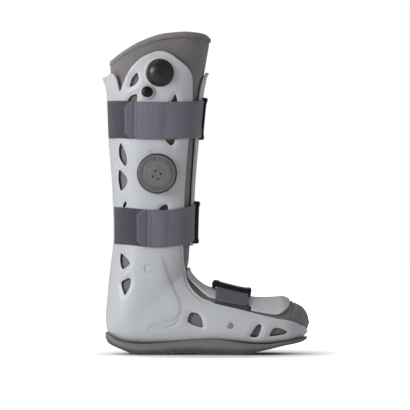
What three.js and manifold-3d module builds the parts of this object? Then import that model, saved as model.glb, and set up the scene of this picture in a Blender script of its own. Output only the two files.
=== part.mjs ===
// Medical walking boot: a hard two-sided shell round a padded liner, on a rocker sole.
// Millimetres. +X runs from heel to toe, +Y to the inner side of the leg, +Z up.
// The origin is on the ground, under the middle of the sole's flat heel patch.

import * as THREE from 'three';
import { mergeVertices } from 'three/addons/utils/BufferGeometryUtils.js';
import Module from 'manifold-3d';

const wasm = await Module();
wasm.setup();

// Size of the leg and foot form, which is the outer face of the liner
const FOOT_LENGTH = 267;
const FOOT_WIDTH = 100;
const HEEL_BACK = 53.3;
const ANKLE_HEIGHT = 151;
const LEG_HEIGHT = 289;
const CALF_DEPTH = 134;
const CALF_WIDTH = 124;

// Walls and running gaps
const LINER_WALL = 7;
const BINDING_PROUD = 0.9;
const BINDING_DEPTH = 7.7;
const SHELL_GAP = 3.2;
const SHELL_WALL = 3;
const PANEL_GAP = 1.05;
const PANEL_WALL = 2.55;
const PANEL_FLARE = 1.7;
const SEAT_GAP = 0.3;
const STRAP_GAP = 0.6;
const LAYER_GAP = 0.4;

// Rocker sole
const SOLE_HEIGHT = 30;
const SOLE_WIDTH = 103;
const TREAD_INSET = 3;
const SOLE_CORNER = 0.25;

// Straps and the keepers that hold them
const STRAP_WIDTH = 50;
const FOOT_STRAP_WIDTH = 46;
const STRAP_THICKNESS = 1.6;
const TAB_CHAMFER = 7;
const SLOT_WIDTH = 4.4;
const SLOT_HALF_SPACING = 21;
const SLOT_END_ROOM = 2;
const STRAP_TAIL = 9;
const KEEPER_WIDTH = 26;
const KEEPER_POST = 3;
const KEEPER_THICKNESS = 3.2;

// Air pump hardware on the outer side
const DIAL_RADIUS = 27;
const DIAL_THICKNESS = 8;
const DIAL_EDGE = 1.4;
const DIAL_BASE_RADIUS = 28;
const DIAL_BASE_PROUD = 3.4;
const DIAL_CLEARANCE = 0.4;
const BULB_RADIUS = 18.7;
const BULB_HEIGHT = 11;
const BULB_RIM = 2.2;
const BUTTON_RADIUS = 6.9;
const BUTTON_HEIGHT = 5.2;
const BUTTON_RIM = 2.6;
const BUTTON_TRAVEL = 1.8;
const BUTTON_CLEARANCE = 0.4;
const BUTTON_FLOOR = 0.8;
const COLLAR_RADIUS = 9.4;
const COLLAR_PROUD = 3.4;
const RIVET_RADIUS = 4.1;
const RIVET_PROUD = 1.8;
const RIVET_RIM = 0.7;

// Leg sections from the top down. up: share of LEG_HEIGHT above the ankle. rear and depth: shares
// of CALF_DEPTH. width: share of CALF_WIDTH. edge: where the shell's front edge lies, from the
// back, 0, to the front, 1.
const LEG_ROWS = [
  { up: 1.0, rear: -0.416, depth: 1.011, width: 0.97, edge: 0.93 },
  { up: 0.92, rear: -0.414, depth: 1.001, width: 0.98, edge: 0.93 },
  { up: 0.794, rear: -0.413, depth: 0.954, width: 1.0, edge: 0.93 },
  { up: 0.664, rear: -0.402, depth: 0.893, width: 0.985, edge: 0.92 },
  { up: 0.477, rear: -0.386, depth: 0.838, width: 0.94, edge: 0.91 },
  { up: 0.29, rear: -0.354, depth: 0.772, width: 0.89, edge: 0.903 },
  { up: 0.126, rear: -0.339, depth: 0.74, width: 0.82, edge: 0.893 },
  { up: 0.0, rear: -0.339, depth: 0.733, width: 0.76, edge: 0.873 },
];
const LEG_MIDDLE = 0.5;
const LEG_POWER = 2.45;

// Sections that turn round the ankle and run along the foot. heelX, topX: shares of FOOT_LENGTH
// from the heel's back. heelZ, topZ: shares of ANKLE_HEIGHT. width: share of FOOT_WIDTH.
// mid: where the section is widest, from sole to instep. power: how square it is below.
const FOOT_ROWS = [
  { heelX: 0.018, heelZ: 0.821, topX: 0.394, topZ: 0.928, width: 0.92, mid: 0.48, power: 2.45, edge: 0.887 },
  { heelX: 0.006, heelZ: 0.651, topX: 0.391, topZ: 0.866, width: 0.91, mid: 0.46, power: 2.45, edge: 0.897 },
  { heelX: -0.003, heelZ: 0.482, topX: 0.386, topZ: 0.821, width: 0.9, mid: 0.44, power: 2.5, edge: 0.92 },
  { heelX: -0.009, heelZ: 0.348, topX: 0.383, topZ: 0.794, width: 0.89, mid: 0.42, power: 2.6, edge: 0.935 },
  { heelX: 0.0, heelZ: 0.213, topX: 0.381, topZ: 0.776, width: 0.88, mid: 0.4, power: 2.8, edge: 0.945 },
  { heelX: 0.051, heelZ: 0.142, topX: 0.382, topZ: 0.759, width: 0.87, mid: 0.38, power: 3.2, edge: 0.945 },
  { heelX: 0.142, heelZ: 0.124, topX: 0.389, topZ: 0.727, width: 0.87, mid: 0.36, power: 3.8, edge: 0.92 },
  { heelX: 0.243, heelZ: 0.124, topX: 0.405, topZ: 0.687, width: 0.87, mid: 0.35, power: 4.0, edge: 0.87 },
  { heelX: 0.344, heelZ: 0.133, topX: 0.43, topZ: 0.642, width: 0.875, mid: 0.35, power: 4.0, edge: 0.81 },
  { heelX: 0.445, heelZ: 0.147, topX: 0.475, topZ: 0.589, width: 0.9, mid: 0.35, power: 4.0, edge: 0.75 },
  { heelX: 0.546, heelZ: 0.151, topX: 0.546, topZ: 0.553, width: 0.95, mid: 0.35, power: 4.0, edge: 0.745 },
  { heelX: 0.647, heelZ: 0.138, topX: 0.637, topZ: 0.514, width: 0.99, mid: 0.36, power: 4.0, edge: 0.727 },
  { heelX: 0.748, heelZ: 0.124, topX: 0.733, topZ: 0.486, width: 1.0, mid: 0.37, power: 3.8, edge: 0.67 },
  { heelX: 0.824, heelZ: 0.129, topX: 0.819, topZ: 0.489, width: 0.97, mid: 0.38, power: 3.4, edge: 0.56 },
  { heelX: 0.89, heelZ: 0.142, topX: 0.89, topZ: 0.481, width: 0.88, mid: 0.4, power: 3.0, edge: 0.49 },
  { heelX: 0.935, heelZ: 0.16, topX: 0.935, topZ: 0.452, width: 0.74, mid: 0.43, power: 2.8, edge: 0.4 },
  { heelX: 0.966, heelZ: 0.187, topX: 0.968, topZ: 0.415, width: 0.57, mid: 0.46, power: 2.5, edge: 0.22 },
  { heelX: 0.988, heelZ: 0.227, topX: 0.988, topZ: 0.357, width: 0.34, mid: 0.5, power: 2.3, edge: 0.08 },
  { heelX: 0.999, heelZ: 0.285, topX: 0.999, topZ: 0.285, width: 0.0, mid: 0.5, power: 2.3, edge: 0.05 },
];
const TOP_POWER = 2.3;
const ANKLE_ROW = LEG_ROWS.length - 1;
const TOE_ROW = LEG_ROWS.length + FOOT_ROWS.length - 1;
const INSTEP_ROW = ANKLE_ROW + 5;
const SHELL_TOE = 0.974;

// Where the shell stops at the top, seen from the side. across: from back, 0, to front, 1.
const SHELL_TOP = 0.905;
const REAR_TAB = [
  { across: -0.3, up: 0.765 },
  { across: -0.093, up: 0.765 },
  { across: -0.008, up: 0.785 },
  { across: 0.04, up: 0.775 },
];
const WING_EDGE = [
  { across: 0.097, up: 0.703 },
  { across: 0.136, up: 0.742 },
  { across: 0.196, up: 0.798 },
  { across: 0.28, up: 0.844 },
  { across: 0.371, up: 0.873 },
  { across: 0.506, up: 0.892 },
  { across: 0.62, up: 0.877 },
  { across: 0.716, up: 0.848 },
  { across: 0.809, up: 0.816 },
  { across: 0.862, up: 0.784 },
  { across: 0.895, up: 0.741 },
  { across: 0.917, up: 0.665 },
];
const REAR_FLARE = { from: 0.7, to: 0.785, reach: 0.057, curve: 1.5 };

// The liner's rim, seen from the side
const LINER_TOP = [
  { across: 0.0, up: 0.85 },
  { across: 0.119, up: 0.89 },
  { across: 0.259, up: 0.929 },
  { across: 0.4, up: 0.956 },
  { across: 0.525, up: 0.973 },
  { across: 0.714, up: 0.982 },
  { across: 0.828, up: 0.981 },
  { across: 0.962, up: 0.966 },
  { across: 1.0, up: 0.942 },
];

// Leaf-shaped windows through both sides. long and wide: half sizes as shares of CALF_DEPTH on the
// leg and of FOOT_WIDTH on the foot. tilt: degrees from upright towards the toe. taper: wider at
// its top end if above 0. bow: bulges towards the toe if above 0.
const LEG_WINDOWS = [
  { across: 0.25, up: 0.754, long: 0.068, wide: 0.024, tilt: 35, taper: 0.1, bow: 0.1 },
  { across: 0.223, up: 0.584, long: 0.225, wide: 0.04, tilt: 5, taper: 0.25, bow: 0.0 },
  { across: 0.7, up: 0.643, long: 0.11, wide: 0.028, tilt: 8, taper: 0.0, bow: 0.0 },
  { across: 0.684, up: 0.509, long: 0.118, wide: 0.048, tilt: 0, taper: 0.1, bow: 0.0 },
  { across: 0.1, up: 0.411, long: 0.12, wide: 0.028, tilt: -14, taper: 0.0, bow: 0.0 },
  { across: 0.073, up: 0.29, long: 0.11, wide: 0.034, tilt: -3, taper: 0.0, bow: 0.45 },
  { across: 0.054, up: 0.157, long: 0.08, wide: 0.021, tilt: 20, taper: 0.0, bow: 0.0 },
  { across: 0.623, up: 0.094, long: 0.17, wide: 0.045, tilt: 8, taper: 0.0, bow: 0.0 },
];
const FOOT_WINDOWS = [
  { along: 0.059, up: 0.835, long: 0.105, wide: 0.05, tilt: -8, taper: -0.25, bow: 0.35 },
  { along: 0.073, up: 0.62, long: 0.11, wide: 0.052, tilt: 14, taper: 0.5, bow: 0.1 },
  { along: 0.425, up: 0.312, long: 0.135, wide: 0.062, tilt: -44, taper: 0.15, bow: -0.2 },
  { along: 0.726, up: 0.205, long: 0.095, wide: 0.045, tilt: 22, taper: -0.45, bow: 0.0 },
  { along: 0.839, up: 0.201, long: 0.118, wide: 0.048, tilt: 96, taper: -0.35, bow: 0.15 },
];
const WINDOW_SIDES = 8;

// Front panels. Shin: half width as a share of CALF_WIDTH, and how far it turns outward as a share
// of PANEL_FLARE.
const SHIN_ROWS = [
  { up: 0.792, half: 0.09, flare: 1.0 },
  { up: 0.784, half: 0.155, flare: 0.53 },
  { up: 0.768, half: 0.2, flare: 0.06 },
  { up: 0.735, half: 0.23, flare: 0.0 },
  { up: 0.66, half: 0.235, flare: 0.0 },
  { up: 0.56, half: 0.222, flare: 0.0 },
  { up: 0.45, half: 0.205, flare: 0.0 },
  { up: 0.34, half: 0.193, flare: 0.0 },
  { up: 0.23, half: 0.187, flare: 0.0 },
  { up: 0.12, half: 0.182, flare: 0.0 },
  { up: 0.02, half: 0.175, flare: 0.0 },
  { up: -0.02, half: 0.14, flare: 0.0 },
];
// Instep: sections past the instep's first one, and where its edge lies from sole, 0, to top, 1
const INSTEP_ROWS = [
  { past: 0.1, edge: 0.992 },
  { past: 0.5, edge: 0.975 },
  { past: 1.0, edge: 0.965 },
  { past: 2.0, edge: 0.945 },
  { past: 4.0, edge: 0.925 },
  { past: 5.0, edge: 0.875 },
  { past: 5.5, edge: 0.83 },
  { past: 7.5, edge: 0.82 },
  { past: 7.62, edge: 0.73 },
  { past: 8.0, edge: 0.7 },
  { past: 8.6, edge: 0.655 },
  { past: 9.0, edge: 0.63 },
  { past: 9.35, edge: 0.65 },
  { past: 9.75, edge: 0.75 },
  { past: 10.0, edge: 0.86 },
  { past: 10.1, edge: 0.95 },
];
const INSTEP_EXTRA = [3.0, 6.0, 6.5, 7.0];
const PANEL_COLUMNS = 6;

// Sole sections. along: share of FOOT_LENGTH from the heel's back. bottom, top: shares of
// SOLE_HEIGHT. width: share of SOLE_WIDTH. Rows with bottom 0 are the two flat patches.
const SOLE_ROWS = [
  { along: -0.034, bottom: 0.72, top: 1.0, width: 0.34 },
  { along: -0.022, bottom: 0.55, top: 0.98, width: 0.5 },
  { along: 0.0, bottom: 0.42, top: 0.84, width: 0.66 },
  { along: 0.035, bottom: 0.29, top: 0.66, width: 0.78 },
  { along: 0.106, bottom: 0.06, top: 0.53, width: 0.86 },
  { along: 0.157, bottom: 0.0, top: 0.5, width: 0.88 },
  { along: 0.243, bottom: 0.0, top: 0.54, width: 0.875 },
  { along: 0.33, bottom: 0.07, top: 0.61, width: 0.86 },
  { along: 0.42, bottom: 0.07, top: 0.69, width: 0.87 },
  { along: 0.505, bottom: 0.0, top: 0.72, width: 0.91 },
  { along: 0.64, bottom: 0.0, top: 0.57, width: 0.985 },
  { along: 0.7, bottom: 0.08, top: 0.51, width: 1.0 },
  { along: 0.775, bottom: 0.22, top: 0.49, width: 0.99 },
  { along: 0.87, bottom: 0.41, top: 0.6, width: 0.88 },
  { along: 0.935, bottom: 0.52, top: 0.7, width: 0.7 },
  { along: 0.966, bottom: 0.6, top: 0.75, width: 0.55 },
  { along: 0.986, bottom: 0.69, top: 0.8, width: 0.38 },
];

// Straps. up: height of the middle. freeEnd, seam and patchEnd: where the tab starts and ends and
// the loop patch stops on the outer side, from back, 0, to front, 1. keeper: the bridge's
// thickness as a share of KEEPER_THICKNESS.
const LEG_STRAPS = [
  { name: 'upper', up: 0.573, freeEnd: 0.15, seam: 0.255, patchEnd: 0.55, keeper: 1.0 },
  { name: 'lower', up: 0.08, freeEnd: 0.264, seam: 0.408, patchEnd: 0.62, keeper: 1.375 },
];
const FOOT_STRAP = { name: 'foot', along: 0.605, anchor: 0.3, freeEnd: 0.775, keeper: 1.875 };
const FOOT_BAND_START = 9;
const FOOT_PATCH_STOP = 16;

// Where the hardware sits on the outer side
const DIAL_PLACE = { across: 0.534, up: 0.323 };
const BULB_PLACE = { across: 0.526, up: 0.79 };
const BUTTON_PLACE = { across: 0.405, up: 0.702 };
const RIVET_PLACE = { along: 0.596, up: 0.266 };

// How finely round surfaces are divided
const SHELL_COLUMNS = 20;
const FRONT_COLUMNS = 4;
const STRAP_STEP = 10;
const ROUND_SIDES = 20;

const SHELL_OUTER = SHELL_GAP + SHELL_WALL;
const PANEL_OUTER = PANEL_GAP + PANEL_WALL;
const EPSILON = 1e-4;
const SEARCH_STEPS = 40;
const ROW_MARGIN = 0.125;
const CUT_MARGIN = 1;

// Colours and finishes
const paint = (color, roughness) => new THREE.MeshStandardMaterial({ color, roughness, metalness: 0 });
const MATERIALS = {
  shell: paint(0xb4b6ba, 0.42),
  liner: paint(0x4c4746, 0.95),
  binding: paint(0x3b3838, 0.9),
  sole: paint(0x4a4744, 0.85),
  strap: paint(0x56545c, 0.9),
  patch: paint(0x3c3a40, 0.95),
  tab: paint(0x625f68, 0.8),
  black: paint(0x0c0c0d, 0.35),
  dial: paint(0x8d8e92, 0.45),
  base: paint(0x2e2f31, 0.5),
  metal: paint(0x6d6e70, 0.4),
};

// Search for the value between low and high where a rising function reaches the target
function solve(rising, low, high, target) {
  let from = low;
  let to = high;
  for (let step = 0; step < SEARCH_STEPS; step += 1) {
    const middle = (from + to) / 2;
    if (rising(middle) < target) from = middle;
    else to = middle;
  }
  return (from + to) / 2;
}

// Straight interpolation in a table that is sorted by one column
function lookUp(table, key, value, column) {
  const last = table.length - 1;
  if (value <= table[0][key]) return table[0][column];
  if (value >= table[last][key]) return table[last][column];
  const next = table.findIndex((row) => row[key] > value);
  const before = table[next - 1];
  const after = table[next];
  const part = (value - before[key]) / (after[key] - before[key]);
  return THREE.MathUtils.lerp(before[column], after[column], part);
}

function footX(share) {
  return -HEEL_BACK + share * FOOT_LENGTH;
}

function legZ(share) {
  return ANKLE_HEIGHT + share * LEG_HEIGHT;
}

// Real sizes of the form's sections, in one list from the top of the leg to the tip of the toe
function formSections() {
  const leg = LEG_ROWS.map((row) => ({
    backX: row.rear * CALF_DEPTH,
    backZ: legZ(row.up),
    frontX: (row.rear + row.depth) * CALF_DEPTH,
    frontZ: legZ(row.up),
    half: (row.width * CALF_WIDTH) / 2,
    middle: LEG_MIDDLE,
    power: LEG_POWER,
    topPower: LEG_POWER,
    edge: row.edge,
  }));
  const foot = FOOT_ROWS.map((row) => ({
    backX: footX(row.heelX),
    backZ: row.heelZ * ANKLE_HEIGHT,
    frontX: footX(row.topX),
    frontZ: row.topZ * ANKLE_HEIGHT,
    half: (row.width * FOOT_WIDTH) / 2,
    middle: row.mid,
    power: row.power,
    topPower: TOP_POWER,
    edge: row.edge,
  }));
  return [...leg, ...foot];
}

const SECTIONS = formSections();

// A smooth section between the listed ones; place counts sections from the top
function sectionAt(place) {
  const held = THREE.MathUtils.clamp(place, 0, TOE_ROW);
  const index = Math.min(Math.floor(held), TOE_ROW - 1);
  const t = held - index;
  const rows = [-1, 0, 1, 2].map((k) => SECTIONS[THREE.MathUtils.clamp(index + k, 0, TOE_ROW)]);
  const weights = [
    ((2 - t) * t - 1) * t,
    (3 * t - 5) * t * t + 2,
    ((4 - 3 * t) * t + 1) * t,
    (t - 1) * t * t,
  ];
  const blended = {};
  for (const key of Object.keys(SECTIONS[0])) {
    blended[key] = rows.reduce((sum, row, k) => sum + (row[key] * weights[k]) / 2, 0);
  }
  return blended;
}

// A point of the form. The angle is 0 at the back or sole, and half a turn at the front or instep;
// it is above 0 on the inner side of the leg.
function formPoint(place, angle) {
  const section = sectionAt(place);
  const depthX = section.frontX - section.backX;
  const depthZ = section.frontZ - section.backZ;
  const cosine = Math.cos(angle);
  const sine = Math.sin(angle);
  const power = cosine > 0 ? section.power : section.topPower;
  const reach = Math.abs(cosine) ** (2 / power);
  const depth = cosine > 0 ? section.middle * (1 - reach) : section.middle + (1 - section.middle) * reach;
  return new THREE.Vector3(
    section.backX + depth * depthX,
    section.half * Math.sign(sine) * Math.abs(sine) ** (2 / power),
    section.backZ + depth * depthZ,
  );
}

const NUDGE_PLACE = 0.04;
const NUDGE_ANGLE = 0.02;

function formNormal(place, angle) {
  const before = Math.max(place - NUDGE_PLACE, 0);
  const after = Math.min(place + NUDGE_PLACE, TOE_ROW - NUDGE_PLACE);
  const down = formPoint(after, angle).sub(formPoint(before, angle));
  const round = formPoint(place, angle + NUDGE_ANGLE).sub(formPoint(place, angle - NUDGE_ANGLE));
  return round.cross(down).normalize();
}

// A point that lies a given lift outside the form
function liftedPoint(place, angle, lift) {
  return formPoint(place, angle).addScaledVector(formNormal(place, angle), lift);
}

function placeAtHeight(height) {
  const drop = (place) => {
    const section = sectionAt(place);
    return -(section.backZ + section.frontZ) / 2;
  };
  return solve(drop, 0, ANKLE_ROW + 1, -height);
}

function placeAlongFoot(x) {
  const advance = (place) => {
    const section = sectionAt(place);
    return (section.backX + section.frontX) / 2;
  };
  return solve(advance, INSTEP_ROW, TOE_ROW, x);
}

// How far a lifted point has come from the section's back, 0, to its front, 1
function shareAcross(place, angle, lift) {
  const section = sectionAt(place);
  const depthX = section.frontX - section.backX;
  const depthZ = section.frontZ - section.backZ;
  const point = liftedPoint(place, angle, lift);
  const along = (point.x - section.backX) * depthX + (point.z - section.backZ) * depthZ;
  return along / (depthX ** 2 + depthZ ** 2);
}

function angleAtShare(place, share, lift) {
  return solve((angle) => shareAcross(place, angle, lift), 0, Math.PI, share);
}

function shellEdgeAngle(place) {
  return angleAtShare(place, sectionAt(place).edge, SHELL_OUTER);
}

// Angles of the shell's columns, which every piece that fits it shares
function shellAngles(place) {
  const edge = shellEdgeAngle(place);
  return Array.from({ length: SHELL_COLUMNS + 1 }, (_, k) => edge * ((2 * k) / SHELL_COLUMNS - 1));
}

function ringAngles(place) {
  const angles = shellAngles(place);
  const edge = angles[SHELL_COLUMNS];
  const gap = 2 * (Math.PI - edge);
  for (let k = 1; k < FRONT_COLUMNS; k += 1) {
    angles.push(edge + (gap * k) / FRONT_COLUMNS);
  }
  return angles;
}

// Places at which surfaces are divided: both ends, and the listed sections between them
function placesBetween(from, to) {
  const rows = SECTIONS.map((section, row) => row);
  const inside = rows.filter((row) => row > from + ROW_MARGIN && row < to - ROW_MARGIN);
  return [from, ...inside, to];
}

// Collects triangles and turns the body the right way out
class Body {
  constructor() {
    this.points = [];
    this.faces = [];
  }

  add(point) {
    this.points.push(point);
    return this.points.length - 1;
  }

  addGrid(grid) {
    return grid.map((row) => row.map((point) => this.add(point)));
  }

  quad(a, b, c, d) {
    this.faces.push([a, b, c], [a, c, d]);
  }

  volume() {
    const cross = new THREE.Vector3();
    return this.faces.reduce((sum, [a, b, c]) => {
      cross.crossVectors(this.points[b], this.points[c]);
      return sum + this.points[a].dot(cross) / 6;
    }, 0);
  }

  geometry() {
    const inward = this.volume() < 0;
    const index = this.faces.flatMap(([a, b, c]) => (inward ? [a, c, b] : [a, b, c]));
    const geometry = new THREE.BufferGeometry();
    const positions = this.points.flatMap((point) => point.toArray());
    geometry.setAttribute('position', new THREE.Float32BufferAttribute(positions, 3));
    geometry.setIndex(index);
    return geometry;
  }
}

// A wall between two grids of points, closed along its edges, or round itself where it is a ring,
// with a pole at its last row if one is given
function wall(outer, inner, { ring = false, poles = null } = {}) {
  const body = new Body();
  const out = body.addGrid(outer);
  const within = body.addGrid(inner);
  const rows = out.length;
  const columns = out[0].length;
  const spans = ring ? columns : columns - 1;
  for (let i = 0; i < rows - 1; i += 1) {
    for (let j = 0; j < spans; j += 1) {
      const k = (j + 1) % columns;
      body.quad(out[i][j], out[i][k], out[i + 1][k], out[i + 1][j]);
      body.quad(within[i][j], within[i + 1][j], within[i + 1][k], within[i][k]);
    }
    if (!ring) {
      const end = columns - 1;
      body.quad(out[i][0], out[i + 1][0], within[i + 1][0], within[i][0]);
      body.quad(out[i + 1][end], out[i][end], within[i][end], within[i + 1][end]);
    }
  }
  for (let j = 0; j < spans; j += 1) {
    const k = (j + 1) % columns;
    const end = rows - 1;
    body.quad(out[0][k], out[0][j], within[0][j], within[0][k]);
    if (!poles) body.quad(out[end][j], out[end][k], within[end][k], within[end][j]);
  }
  if (poles) {
    const end = rows - 1;
    const tip = body.add(poles.outer);
    const innerTip = body.add(poles.inner);
    for (let j = 0; j < columns; j += 1) {
      const k = (j + 1) % columns;
      body.faces.push([out[end][j], out[end][k], tip], [within[end][k], within[end][j], innerTip]);
    }
  }
  return body.geometry();
}

// A solid between stacked closed rings, flat at both ends
function stack(rings) {
  const body = new Body();
  const levels = body.addGrid(rings);
  const sides = rings[0].length;
  for (let i = 0; i < levels.length - 1; i += 1) {
    for (let j = 0; j < sides; j += 1) {
      const k = (j + 1) % sides;
      body.quad(levels[i][j], levels[i][k], levels[i + 1][k], levels[i + 1][j]);
    }
  }
  for (const [level, ring, ahead] of [
    [levels[0], rings[0], false],
    [levels.at(-1), rings.at(-1), true],
  ]) {
    const centre = new THREE.Vector3();
    ring.forEach((point) => centre.addScaledVector(point, 1 / sides));
    const hub = body.add(centre);
    for (let j = 0; j < sides; j += 1) {
      const k = (j + 1) % sides;
      body.faces.push(ahead ? [level[j], level[k], hub] : [level[k], level[j], hub]);
    }
  }
  return body.geometry();
}

// Cuts and joins
function toManifold(geometry) {
  const bare = geometry.clone();
  bare.deleteAttribute('normal');
  bare.deleteAttribute('uv');
  const merged = mergeVertices(bare, EPSILON);
  const mesh = new wasm.Mesh({
    numProp: 3,
    vertProperties: Float32Array.from(merged.attributes.position.array),
    triVerts: Uint32Array.from(merged.index.array),
  });
  return new wasm.Manifold(mesh);
}

function fromManifold(solid) {
  const mesh = solid.getMesh();
  const geometry = new THREE.BufferGeometry();
  geometry.setAttribute('position', new THREE.Float32BufferAttribute(mesh.vertProperties, 3));
  geometry.setIndex(Array.from(mesh.triVerts));
  return geometry;
}

function cut(geometry, cutters) {
  let solid = toManifold(geometry);
  for (const cutter of cutters) {
    solid = solid.subtract(toManifold(cutter));
  }
  return fromManifold(solid);
}

// A side-view outline made a prism right through the boot
function sidePrism(shape) {
  const depth = CALF_WIDTH + FOOT_WIDTH;
  const options = { depth, bevelEnabled: false, curveSegments: 2 };
  const geometry = new THREE.ExtrudeGeometry(shape, options);
  geometry.rotateX(Math.PI / 2);
  geometry.translate(0, depth / 2, 0);
  return geometry;
}

// A place on the leg in the side view, from shares across its depth and up its height
function legSpot({ across, up }) {
  const height = legZ(up);
  const section = sectionAt(placeAtHeight(height));
  return new THREE.Vector2(THREE.MathUtils.lerp(section.backX, section.frontX, across), height);
}

function footSpot({ along, up }) {
  return new THREE.Vector2(footX(along), up * ANKLE_HEIGHT);
}

function windowShape(spot, window, unit) {
  const tilt = THREE.MathUtils.degToRad(-window.tilt);
  const points = Array.from({ length: WINDOW_SIDES }, (_, k) => {
    const t = (2 * Math.PI * k) / WINDOW_SIDES;
    const bow = window.bow * Math.sin(t) ** 2;
    const across = window.wide * unit * (Math.sin(t) * (1 + window.taper * Math.cos(t)) + bow);
    const along = window.long * unit * Math.cos(t);
    return new THREE.Vector2(across, along).rotateAround(new THREE.Vector2(), tilt).add(spot);
  });
  return new THREE.Shape(points);
}

function windowPrisms() {
  const leg = LEG_WINDOWS.map((row) => windowShape(legSpot(row), row, CALF_DEPTH));
  const foot = FOOT_WINDOWS.map((row) => windowShape(footSpot(row), row, FOOT_WIDTH));
  return [...leg, ...foot].map(sidePrism);
}

// Everything above the shell's top edge
function topPrism() {
  const shape = new THREE.Shape();
  const corners = REAR_TAB.map(legSpot);
  shape.moveTo(corners[0].x, corners[0].y);
  corners.slice(1).forEach((spot) => shape.lineTo(spot.x, spot.y));
  const wing = WING_EDGE.map(legSpot);
  shape.lineTo(wing[0].x, wing[0].y);
  shape.splineThru(wing.slice(1));
  const ceiling = legZ(1) + CALF_DEPTH;
  shape.lineTo(2 * CALF_DEPTH, wing.at(-1).y);
  shape.lineTo(2 * CALF_DEPTH, ceiling);
  shape.lineTo(-2 * CALF_DEPTH, ceiling);
  shape.lineTo(-2 * CALF_DEPTH, legSpot(REAR_TAB[0]).y);
  return sidePrism(shape);
}

// The lip that turns outward on the shell's rear tab
function flarePush(point, angle) {
  const from = legZ(REAR_FLARE.from);
  const to = legZ(REAR_FLARE.to);
  const rise = Math.max(0, (point.z - from) / (to - from));
  const reach = REAR_FLARE.reach * CALF_DEPTH * Math.max(0, Math.cos(angle)) ** 2;
  point.x -= reach * rise ** REAR_FLARE.curve;
  return point;
}

function shellPlaces() {
  const top = placeAtHeight(legZ(SHELL_TOP));
  const toe = placeAlongFoot(footX(SHELL_TOE));
  const lip = [REAR_FLARE.from, REAR_FLARE.to].map((up) => placeAtHeight(legZ(up)));
  return [...placesBetween(top, toe), ...lip].sort((a, b) => a - b);
}

function shellGrid(lift) {
  return shellPlaces().map((place) => shellAngles(place).map((angle) => (
    flarePush(liftedPoint(place, angle, lift), angle)
  )));
}

function baseShell() {
  const slots = LEG_STRAPS.map(legRun).flatMap((run) => [-1, 1].map((side) => slotBlock(run, side)));
  const raw = wall(shellGrid(SHELL_OUTER), shellGrid(SHELL_GAP));
  return cut(raw, [topPrism(), ...windowPrisms(), ...slots]);
}

// The shell's outside as one solid, to shape what seats on it
function seatForm() {
  const rings = shellPlaces().map((place) => ringAngles(place).map((angle) => (
    flarePush(liftedPoint(place, angle, SHELL_OUTER + SEAT_GAP), angle)
  )));
  return stack(rings);
}

// Height of the liner's rim over a point of the section
function rimHeight(angle) {
  const across = shareAcross(0, angle, 0);
  return legZ(lookUp(LINER_TOP, 'across', across, 'up'));
}

const LINER_RIM_ROWS = 3;
const LINER_REGULAR_ROW = 3;

// Rows of the liner from a given distance below the rim down to the toe
function linerGrid(lift, below) {
  const reference = ringAngles(LINER_REGULAR_ROW);
  const floor = sectionAt(LINER_REGULAR_ROW).backZ;
  const upper = [];
  for (let row = 0; row < LINER_RIM_ROWS; row += 1) {
    upper.push(reference.map((angle) => {
      const top = rimHeight(angle) - below;
      const height = THREE.MathUtils.lerp(top, floor, row / LINER_RIM_ROWS);
      return liftedPoint(placeAtHeight(height), angle, lift);
    }));
  }
  const lower = placesBetween(LINER_REGULAR_ROW, TOE_ROW - 1).map((place) => (
    ringAngles(place).map((angle) => liftedPoint(place, angle, lift))
  ));
  return [...upper, ...lower];
}

function liner() {
  const below = BINDING_DEPTH + 2 * SEAT_GAP;
  const outerTip = formPoint(TOE_ROW, 0);
  const innerTip = outerTip.clone();
  innerTip.x -= LINER_WALL;
  return wall(linerGrid(0, below), linerGrid(-LINER_WALL, below), {
    ring: true,
    poles: { outer: outerTip, inner: innerTip },
  });
}

// The folded binding that finishes the liner's rim
function linerBinding() {
  const angles = ringAngles(LINER_REGULAR_ROW);
  const rowsAt = (lift) => [0, BINDING_DEPTH].map((below) => angles.map((angle) => (
    liftedPoint(placeAtHeight(rimHeight(angle) - below), angle, lift)
  )));
  return wall(rowsAt(BINDING_PROUD), rowsAt(-LINER_WALL - BINDING_PROUD), { ring: true });
}

// A panel over the front of the form, from rows of place, half angle and outward flare
function frontPanel(rows) {
  const grid = (lift) => rows.map(({ place, half, flare }) => (
    Array.from({ length: PANEL_COLUMNS + 1 }, (_, k) => {
      const angle = Math.PI + half * ((2 * k) / PANEL_COLUMNS - 1);
      return liftedPoint(place, angle, lift + flare);
    })
  ));
  return wall(grid(PANEL_OUTER), grid(PANEL_GAP));
}

function shinPanel() {
  return frontPanel(SHIN_ROWS.map((row) => {
    const place = placeAtHeight(legZ(row.up));
    const width = (angle) => -Math.abs(formPoint(place, angle).y);
    const edge = solve(width, Math.PI / 2, Math.PI, -row.half * CALF_WIDTH);
    return { place, half: Math.PI - edge, flare: row.flare * PANEL_FLARE };
  }));
}

function instepPanel() {
  const pasts = [...INSTEP_ROWS.map((row) => row.past), ...INSTEP_EXTRA].sort((a, b) => a - b);
  return frontPanel(pasts.map((past) => {
    const place = INSTEP_ROW + past;
    const edge = angleAtShare(place, lookUp(INSTEP_ROWS, 'past', past, 'edge'), PANEL_GAP);
    return { place, half: Math.PI - edge, flare: 0 };
  }));
}

// The rocker sole, hollowed on top to cup the shell
function rockerSole() {
  const rings = SOLE_ROWS.map((row) => {
    const x = footX(row.along);
    const half = (row.width * SOLE_WIDTH) / 2;
    const bottom = row.bottom * SOLE_HEIGHT;
    const top = row.top * SOLE_HEIGHT;
    const tread = half - TREAD_INSET;
    const corner = THREE.MathUtils.lerp(bottom, top, SOLE_CORNER);
    return [
      [-half, top],
      [-half, corner],
      [-tread, bottom],
      [tread, bottom],
      [half, corner],
      [half, top],
    ].map(([y, z]) => new THREE.Vector3(x, y, z));
  });
  return cut(stack(rings), [seatForm()]);
}

// Distances round one section, from the middle of the front towards the outer side
const ARC_STEPS = 90;

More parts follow.
